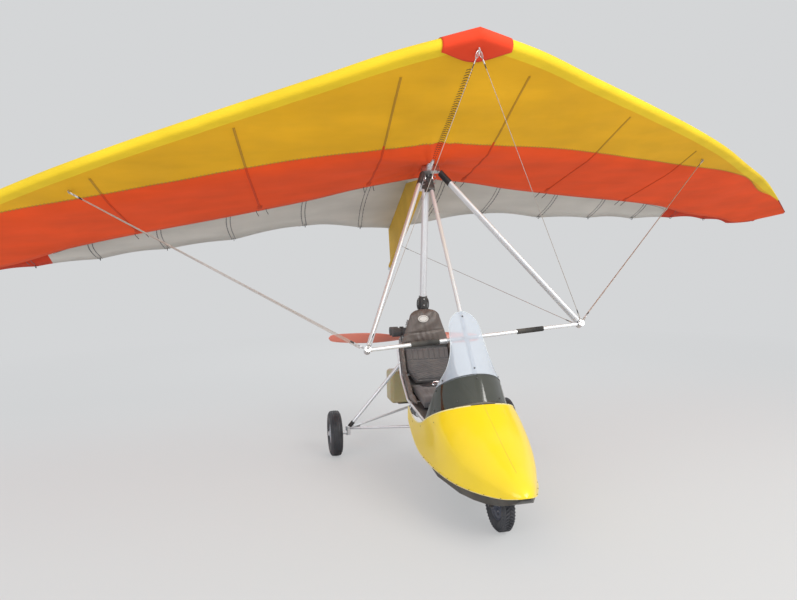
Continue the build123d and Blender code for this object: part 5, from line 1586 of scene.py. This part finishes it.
def makeBelts():
    pieces = []
    for hand in (1, -1):
        # lap belts lie over the rear cushion and meet at the buckle
        line = []
        for i in range(17):
            t = i / 16
            x = hand * (0.222 * (1 - t) + 0.018 * t)
            y = 0.010 - 0.130 * sin(t * pi / 2)
            z = 0.600 + 0.088 * sin(t * pi / 2) - 0.012 * t
            line.append((Vector((x, y + shift, z)), Vector((hand * 0.35 * (1 - t), -0.55, 0.8))))
        pieces.append(strap(line))
    middle = Vector(belt["buckle"])
    wide, ahead, up = belt["bow"]
    ring = [middle + Vector((wide * cos(t), -0.010 - ahead * abs(sin(t)), up * sin(t))) for t in angles(24)]
    pieces.append(tubePiece("buckleBow", ring, belt["bowRadius"], "brightSteel", 10, closed=True))
    corners = [middle + Vector((x, y, z)) for x in (-0.026, 0.026) for y in (-0.008, 0.004)
               for z in (-0.019, 0.019)]
    sides = [(0, 1, 3, 2), (4, 6, 7, 5), (0, 4, 5, 1), (2, 3, 7, 6), (0, 2, 6, 4), (1, 5, 7, 3)]
    plate = newPiece("bucklePlate", corners, sides, ["brightSteel"], angle=40)
    withModifier(plate, "BEVEL", width=0.005, segments=3)
    applyModifiers(plate)
    smoothByAngle(plate, 40)
    pieces.append(plate)
    place(joinPieces("seatBelts", pieces), "trike", "black_fitting")


# Both ends of each separate wire of a node, each with the direction along the wire from there
def wireEnds(name):
    solid = bmesh.new()
    solid.from_mesh(nodes[name].data)
    bmesh.ops.remove_doubles(solid, verts=solid.verts, dist=1e-5)
    left, ends = set(solid.verts), []
    while left:
        group, edge = set(), [left.pop()]
        while edge:
            vertex = edge.pop()
            group.add(vertex)
            for link in vertex.link_edges:
                other = link.other_vert(vertex)
                if other in left:
                    left.discard(other)
                    edge.append(other)
        spots = [vertex.co.copy() for vertex in group]
        if len(spots) < 6:
            continue
        middle = sum(spots, Vector()) / len(spots)
        first = max(spots, key=lambda spot: (spot - middle).length)
        second = max(spots, key=lambda spot: (spot - first).length)
        tips = []
        for tip in (first, second):
            close = [spot for spot in spots if (spot - tip).length < 0.010]
            tips.append(sum(close, Vector()) / len(close))
        tips.sort(key=lambda tip: tip.z)
        along = (tips[1] - tips[0]).normalized()
        ends.append([(tips[0], along), (tips[1], -along)])
    solid.free()
    ends.sort(key=lambda pair: tuple(round(value, 3) for value in pair[0][0]))
    return ends


wireTerminals = {
    "sleeve": 0.0046,
    "sleeveLength": 0.032,
    "from": 0.050,
    "shrink": 0.0038,
    "loop": 0.011,
    "apart": 0.034,    # between the two wires of a side stay at the control bar
}


def makeWireTerminals():
    pieces = []
    for low, high in wireEnds("side_wires"):
        start = low[0] + low[1] * 0.03 + keelLine * wireTerminals["apart"]
        pieces.append(tubePiece("secondWire", [start, high[0] + high[1] * 0.05], 0.0018, "cable", 8))
    for name in ("side_wires", "fore_aft_wires", "upper_wires"):
        for tip, along in (end for pair in wireEnds(name) for end in pair):
            length = wireTerminals["sleeveLength"]
            start = tip + along * wireTerminals["from"]
            end, shrinkEnd = (start + along * length * share for share in (1, 1.9))
            pieces.append(tubePiece("sleeve", [start, end], wireTerminals["sleeve"], "satinSteel", 12))
            pieces.append(tubePiece("shrink", [end, shrinkEnd], wireTerminals["shrink"], "blackPlastic", 10))
            side = along.cross(Vector((0.3, 0.2, 1))).normalized()
            middle = tip + along * 0.019
            side *= wireTerminals["loop"]
            loop = [middle + along * 0.024 * cos(t) + side * sin(t) for t in angles(22)]
            pieces.append(tubePiece("thimble", loop, 0.0026, "satinSteel", 8, closed=True))
    place(joinPieces("wireTerminals", pieces), "wing", "steel")


# Bolt heads and nuts on both ends of a pin
def pin(middle, along, reach):
    along = Vector(along).normalized()
    return [(Vector(middle) + along * hand * reach, along * hand) for hand in (1, -1)]


# stations and heights on the mast's centre line, and the heights of its fold and of the drag links' collar
mast = {"foot": (0.419, 0.262), "top": (0.062, 2.345), "fold": 1.336, "collar": 1.030}


def mastPoint(height):
    (footY, footZ), (topY, topZ) = mast["foot"], mast["top"]
    share = (height - footZ) / (topZ - footZ)
    return Vector((0, footY + (topY - footY) * share + shift, height))


def makeFittings():
    mastLine = (mastPoint(2) - mastPoint(1)).normalized()
    front = Vector((0, -mastLine.z, mastLine.y))
    fold = mastPoint(mast["fold"])
    spots = []
    for lift in (-0.048, 0.048):
        spots += pin(fold + mastLine * lift, (1, 0, 0), 0.037)
    spots += [(fold + mastLine * lift + front * 0.037, front) for lift in (-0.055, 0, 0.055)]
    for height, reach in ((mast["collar"], 0.038), (2.255, 0.031)):
        spots += pin(mastPoint(height), (1, 0, 0), reach)
    for station, height in ((-0.27, 2.106), (-1.30, 0.628)):
        spots += pin((0, station + shift, height), (1, 0, 0), 0.016)
    place(heads("mastBolts", spots, 0.0085, 0.007), "trike", "steel")
    sleeves = []
    for hand in (1, -1):
        hub = Vector((hand * 0.698, 0.331 + shift, 0.235))
        for target, radius, reach in ((mastPoint(mast["collar"]), 0.0185, 0.075),
                                      (Vector((0, 0.40 + shift, 0.262)), 0.0135, 0.11)):
            along = (target - hub).normalized()
            line = [hub + along * 0.012, hub + along * reach]
            sleeves.append(tubePiece("sleeve", line, radius, "blackPlastic", 18))
    place(joinPieces("hubSleeves", sleeves), "trike", "black_plastic")
    lobes = []
    for hand in (1, -1):
        ring = [fold + Vector((hand * (0.030 + 0.017 * abs(sin(t))), 0, 0)) + mastLine * 0.058 * cos(t)
                + front * 0.022 * sin(t) for t in angles(32)]
        lobes.append(tubePiece("lobe", ring, 0.0055, "blackSteel", 10, closed=True))
    for lift in (-0.072, 0.072):
        ring = [fold + mastLine * lift + Vector((0.0365 * cos(t), 0, 0)) + front * 0.0365 * sin(t)
                for t in angles(40)]
        lobes.append(tubePiece("band", ring, 0.0028, "blackSteel", 8, closed=True))
    place(joinPieces("foldLobes", lobes), "trike", "black_fitting")
    parts = []
    for hand in (1, -1):
        for lift in (0.0, 0.034):
            spots = pin(onWing(hand * 0.048, 0.0, -0.070 - lift), keelLine, 0.024)
            parts.append(heads("apexBolts", spots, 0.0075, 0.008))
        ring = [onWing(hand * (0.040 + 0.010 * cos(t)), 0.018 * sin(t), -0.046 + 0.012 * cos(t))
                for t in angles(20)]
        parts.append(tubePiece("shackle", ring, 0.0032, "satinSteel", 8, closed=True))
        cord = [onWing(hand * 0.030, -0.030 + 0.012 * i, -0.040 - 0.016 * sin(i * 0.9) ** 2)
                for i in range(7)]
        parts.append(tubePiece("tie", cord, 0.0024, "thread", 6))
    place(joinPieces("apexFittings", parts), "wing", "steel")
    low, high = (Vector(corner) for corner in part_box("hang_bracket"))
    middle = (low + high) / 2
    hanger = [(Vector((x, middle.y + y, middle.z + z)), (1 if x > 0 else -1, 0, 0))
              for x in (low.x, high.x) for y, z in ((0, 0.030), (0, -0.030))]
    place(heads("hangBolts", hanger, 0.009, 0.007), "hanger", "steel")


# Leads and hoses of the engine
engine = {
    "cylinders": (0.515, 0.625),
    "capRadius": 0.0085,
    "leadRadius": 0.0036,
    "hoseRadius": 0.0052,
    "lowerRadius": 0.0045,
    # points of a lead from its plug, of a hose from its intake, and of the runs below the block from its
    # lower front edge
    "leadRun": ((0.002, 0, -0.002), (0.050, 0.004, 0), (0.082, -0.020, -0.045), (0.078, -0.04, -0.13)),
    "hoseRun": ((0, 0, 0), (-0.012, -0.006, -0.05), (0, -0.05, -0.11)),
    "lowerRun": ((0.035, 0.03, 0.02), (0.050, -0.030, -0.02), (0.045, -0.035, -0.16), (0.040, -0.028, -0.26)),
}


# Tube along a smooth curve through the middle of a few points
def spline(points, radius, material):
    data = bpy.data.curves.new("run", "CURVE")
    data.dimensions = "3D"
    line = data.splines.new("NURBS")
    line.points.add(len(points) - 1)
    for vertex, spot in zip(line.points, points):
        vertex.co = (*spot, 1)
    line.order_u = 3
    line.use_endpoint_u = True
    line.resolution_u = 8
    path = [vertex.co.copy() for vertex in curveMesh("run", data).vertices]
    return tubePiece("run", path, radius, material, 10)


def makeEngineRuns():
    high = Vector(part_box("engine_cylinders")[1])
    blockLow, blockHigh = (Vector(corner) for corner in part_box("engine_block"))
    pieces = []
    box = Vector((0.075, blockLow.y - 0.004, blockHigh.z - 0.045))
    for number, station in enumerate(engine["cylinders"]):
        plug = Vector((0, station + shift, high.z - 0.006))
        cap = [plug + Vector((0, 0, rise)) for rise in (-0.016, 0.004)]
        pieces.append(tubePiece("cap", cap, engine["capRadius"], "blackPlastic", 14))
        run = [plug + Vector(step) for step in engine["leadRun"]]
        run.append(box + Vector((0.012 * number, 0.0, 0.01)))
        pieces.append(spline(run, engine["leadRadius"], "leadRubber"))
    intakeLow, intakeHigh = (Vector(corner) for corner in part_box("air_intake"))
    for number, station in enumerate(engine["cylinders"]):
        start = Vector((intakeHigh.x - 0.05, station + shift, (intakeLow.z + intakeHigh.z) / 2 - 0.02))
        run = [start + Vector(step) for step in engine["hoseRun"]]
        run.append(Vector((-0.10, 0.47 + shift, blockLow.z - 0.010)))
        pieces.append(spline(run, engine["hoseRadius"], "blackPlastic"))
    for hand in (1, -1):
        run = [Vector((hand * x, blockLow.y + y, blockLow.z + z)) for x, y, z in engine["lowerRun"]]
        pieces.append(spline(run, engine["lowerRadius"], "blackPlastic"))
    place(joinPieces("engineRuns", pieces), "trike", "black_plastic")
    # a ring of bolts on the gearbox, and head nuts
    gearLow, gearHigh = (Vector(corner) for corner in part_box("gearbox"))
    centre = Vector((0, gearHigh.y, (gearLow.z + gearHigh.z) / 2))
    half = (gearHigh.x - gearLow.x) / 2
    spots = [(centre + Vector((0.74 * half * cos(t), -0.001, 0.74 * half * sin(t))), (0, 1, 0))
             for t in angles(8)]
    spots += [(Vector((x, station + y + shift, high.z - 0.026)), (0, 0, 1)) for station in engine["cylinders"]
              for x in (-0.032, 0.032) for y in (-0.032, 0.032)]
    place(heads("engineNuts", spots, 0.0065, 0.007), "trike", "steel")


# Point at x, a radius and an angle about the X axis
def onRing(x, radius, angle):
    return Vector((x, radius * cos(angle), radius * sin(angle)))


# Turned form about X. The closed profile gives how far out along X and the radius
def lathe(name, profile, middle, material, turns):
    points = [middle + onRing(x, radius, t) for t in angles(turns) for x, radius in profile]
    # the last row is the first again
    faces = [tuple(corner % len(points) for corner in face)
             for face in gridFaces(turns + 1, len(profile), ring=True)]
    piece = newPiece(name, points, faces, [material], angle=40)
    cleanMesh(piece)
    smoothByAngle(piece, 40)
    return piece


wheels = {
    # body, tyre node, rim node, centre, radius, width
    "rows": [("nose_wheel", "nose_tyre", "nose_rim", (0, -1.500, 0.170), 0.170, 0.084),
             ("left_wheel", "left_tyre", "left_rim", (0.817, 0.331, 0.200), 0.200, 0.108),
             ("right_wheel", "right_tyre", "right_rim", (-0.817, 0.331, 0.200), 0.200, 0.108)],
    "rimRadius": 0.100,
    # shares of the half width and of the tyre's depth, from the rim to the tread
    "wall": [(0.62, 0.004), (0.70, 0.05), (0.86, 0.20), (0.965, 0.40), (0.985, 0.55), (0.94, 0.70),
             (0.86, 0.81), (0.80, 0.85), (0.78, 0.90), (0.66, 0.955)],
    "lugs": 44,
}


def makeWheel(body, tyreNode, rimNode, centre, radius, width):
    middle = Vector((centre[0], centre[1] + shift, centre[2]))
    half, deep = width / 2, radius - wheels["rimRadius"]
    base = wheels["rimRadius"]
    knobbly = body == "nose_wheel"
    crown = radius - (0.007 if knobbly else 0.0002)
    profile = [(share * half, base + rise * deep) for share, rise in wheels["wall"]]
    if knobbly:
        profile += [(0.40 * half, crown - 0.0012), (0.15 * half, crown)]
    else:   # three grooves run round the tread
        for share in (0.52, 0.22):
            x = share * half
            profile += [(x + 0.003, radius - 0.005 * share), (x + 0.0022, radius - 0.008),
                        (x - 0.0022, radius - 0.008), (x - 0.003, radius - 0.004 * share)]
        profile += [(0.0024, crown), (0.0016, radius - 0.006)]
    profile += [(-x, r) for x, r in reversed(profile)]
    tyre = lathe(body + "Tyre", profile + [(-0.55 * half, base + 0.002), (0.55 * half, base + 0.002)], middle,
                 "rubber", 96)
    pieces = [tyre]
    if knobbly:
        count = wheels["lugs"]
        spots = []
        for hand, first in ((1, 0.5), (-1, 0)):
            for t in angles(count, first):
                spots.append((middle + onRing(hand * 0.36 * half, radius - 0.0052, t), onRing(0, 1, t),
                              Vector((hand, -0.75 * sin(t), 0.75 * cos(t)))))
        pieces.append(blocks("lugs", spots, "rubber", 0.030, 0.0085, 0.0098))
        shoulder = [(middle + onRing(hand * 0.80 * half, radius - 0.013, t), onRing(hand * 0.8, 1, t),
                     Vector((0, -sin(t), cos(t)))) for hand in (1, -1) for t in angles(count)]
        pieces.append(blocks("shoulderLugs", shoulder, "rubber", 0.009, 0.014, 0.006))
    else:
        ribs = [(middle + onRing(hand * 0.885 * half, base + 0.76 * deep, t), onRing(hand, 0.5, t),
                 Vector((0, -sin(t), cos(t)))) for hand in (1, -1) for t in angles(60)]
        pieces.append(blocks("wallRibs", ribs, "rubber", 0.004, 0.016, 0.003))
    place(joinPieces(body + "Tread", pieces), body, "tyre", tyreNode)

    # dished wheel with a rolled flange, hub boss and a ring of bolts
    flange = 0.66 * half
    dish = [(flange, base - 0.001), (flange + 0.0015, base - 0.0045), (flange - 0.002, base - 0.0075),
            (flange - 0.010, base - 0.010), (0.014, base - 0.020), (0.010, 0.068), (0.016, 0.052),
            (0.020, 0.040), (0.044, 0.031), (0.0475, 0.029), (0.0478, 0.0125)]
    disc = "noseDisc" if knobbly else "wheelPlastic"
    rim = lathe(body + "Rim", dish + [(-x, r) for x, r in reversed(dish)], middle, disc, 72)
    bolts = [(middle + onRing(hand * 0.0175, 0.046, t), (hand, 0, 0)) for hand in (1, -1) for t in angles(6)]
    boltRing = heads("bolts", bolts, 0.0055, 0.006)
    slots = [(middle + onRing(hand * 0.0115, 0.070, t), (hand, 0, 0)) for hand in (1, -1)
             for t in angles(6, 0.5)]
    holes = heads("holes", slots, 0.0095, 0.0016, "blackPlastic")
    place(joinPieces(body + "Dish", [rim, boltRing, holes]), body, "rim", rimNode)


propeller = {
    "centre": (0, 0.912, 0.955),
    "tilt": 2.5,
    # reach, chord, thickness, pitch
    "sections": [(0.040, 0.070, 0.026, 62), (0.150, 0.096, 0.020, 42), (0.350, 0.118, 0.014, 26),
                 (0.600, 0.100, 0.009, 16), (0.760, 0.070, 0.005, 13), (0.787, 0.034, 0.003, 12)],
    "bladeFrom": 0.030,
    "bladeRun": 0.757,
    "tip": (0.72, 0.0672, 0.078),    # reach from which the tip is round, its length and its chord
    "hubRadius": 0.0445,
    "hubLength": 0.070,
    "shaftRadius": 0.018,
    "shaftReach": 0.142,
}


def makePropeller():
    centre = Vector((0, propeller["centre"][1] + shift, propeller["centre"][2]))
    tilt = radians(propeller["tilt"])
    tipFrom, tipLong, tipChord = propeller["tip"]
    pieces = []
    for turn in (1, -1):
        out = Vector((-cos(tilt), 0, sin(tilt))) * turn
        around = out.cross(Vector((0, 1, 0)))
        points, rows, ring = [], 49, 24
        for i in range(rows):
            reach = propeller["bladeFrom"] + propeller["bladeRun"] * i / (rows - 1)
            chord, thick, pitch = between(propeller["sections"], max(reach, propeller["sections"][0][0]))[1:]
            if reach > tipFrom:
                chord = tipChord * sqrt(max(1 - ((reach - tipFrom) / tipLong) ** 2, 0.002))
            twist = radians(pitch)
            edge = around * cos(twist) + Vector((0, 1, 0)) * sin(twist)
            normal = out.cross(edge)
            for t in angles(ring):
                flat = thick * (0.62 if sin(t) > 0 else 0.25)
                points.append(centre + out * reach + edge * chord / 2 * cos(t) + normal * flat * sin(t))
        blade = newPiece("blade", points, barFaces(rows, ring), ["bladePaint"], angle=60)
        cleanMesh(blade)
        smoothByAngle(blade, 60)
        pieces.append(blade)
    half = propeller["hubLength"] / 2
    for low, high, radius, material in (
            (-half, half, propeller["hubRadius"], "bladePaint"),
            (-propeller["shaftReach"], -half, propeller["shaftRadius"], "satinSteel")):
        line = [centre + Vector((0, reach, 0)) for reach in (low, high)]
        pieces.append(tubePiece("hub", line, radius, material, 40))
    bolts = [(centre + Vector((0.029 * cos(t), hand * half, 0.029 * sin(t))), (0, hand, 0))
             for hand in (1, -1) for t in angles(6)]
    pieces.append(heads("propellerBolts", bolts, 0.006, 0.009))
    place(joinPieces("propellerBlades", pieces), "airscrew", "prop_blade", "propeller")


makeCamera()
makeStudio()
makeSail(1, "sailPort", "sail_left")
makeSail(-1, "sailStarboard", "sail_right")
place(joinPieces("sailStitches", stitchRows), "wing", "sail_cloth")
place(joinPieces("battenLoops", hookLoops), "wing", "black_plastic")
makeNoseCap()
print("sail is made")
makePod()
makeScreen()
print("pod and screen are made")
makeSeat()
print("seat is made")
for row in wheels["rows"]:
    makeWheel(*row)
makePropeller()
print("wheels and propeller are made")
makeSling()
makeBelts()
makeWireTerminals()
makeFittings()
makeEngineRuns()
print("belts, terminals, fittings and engine runs are made")
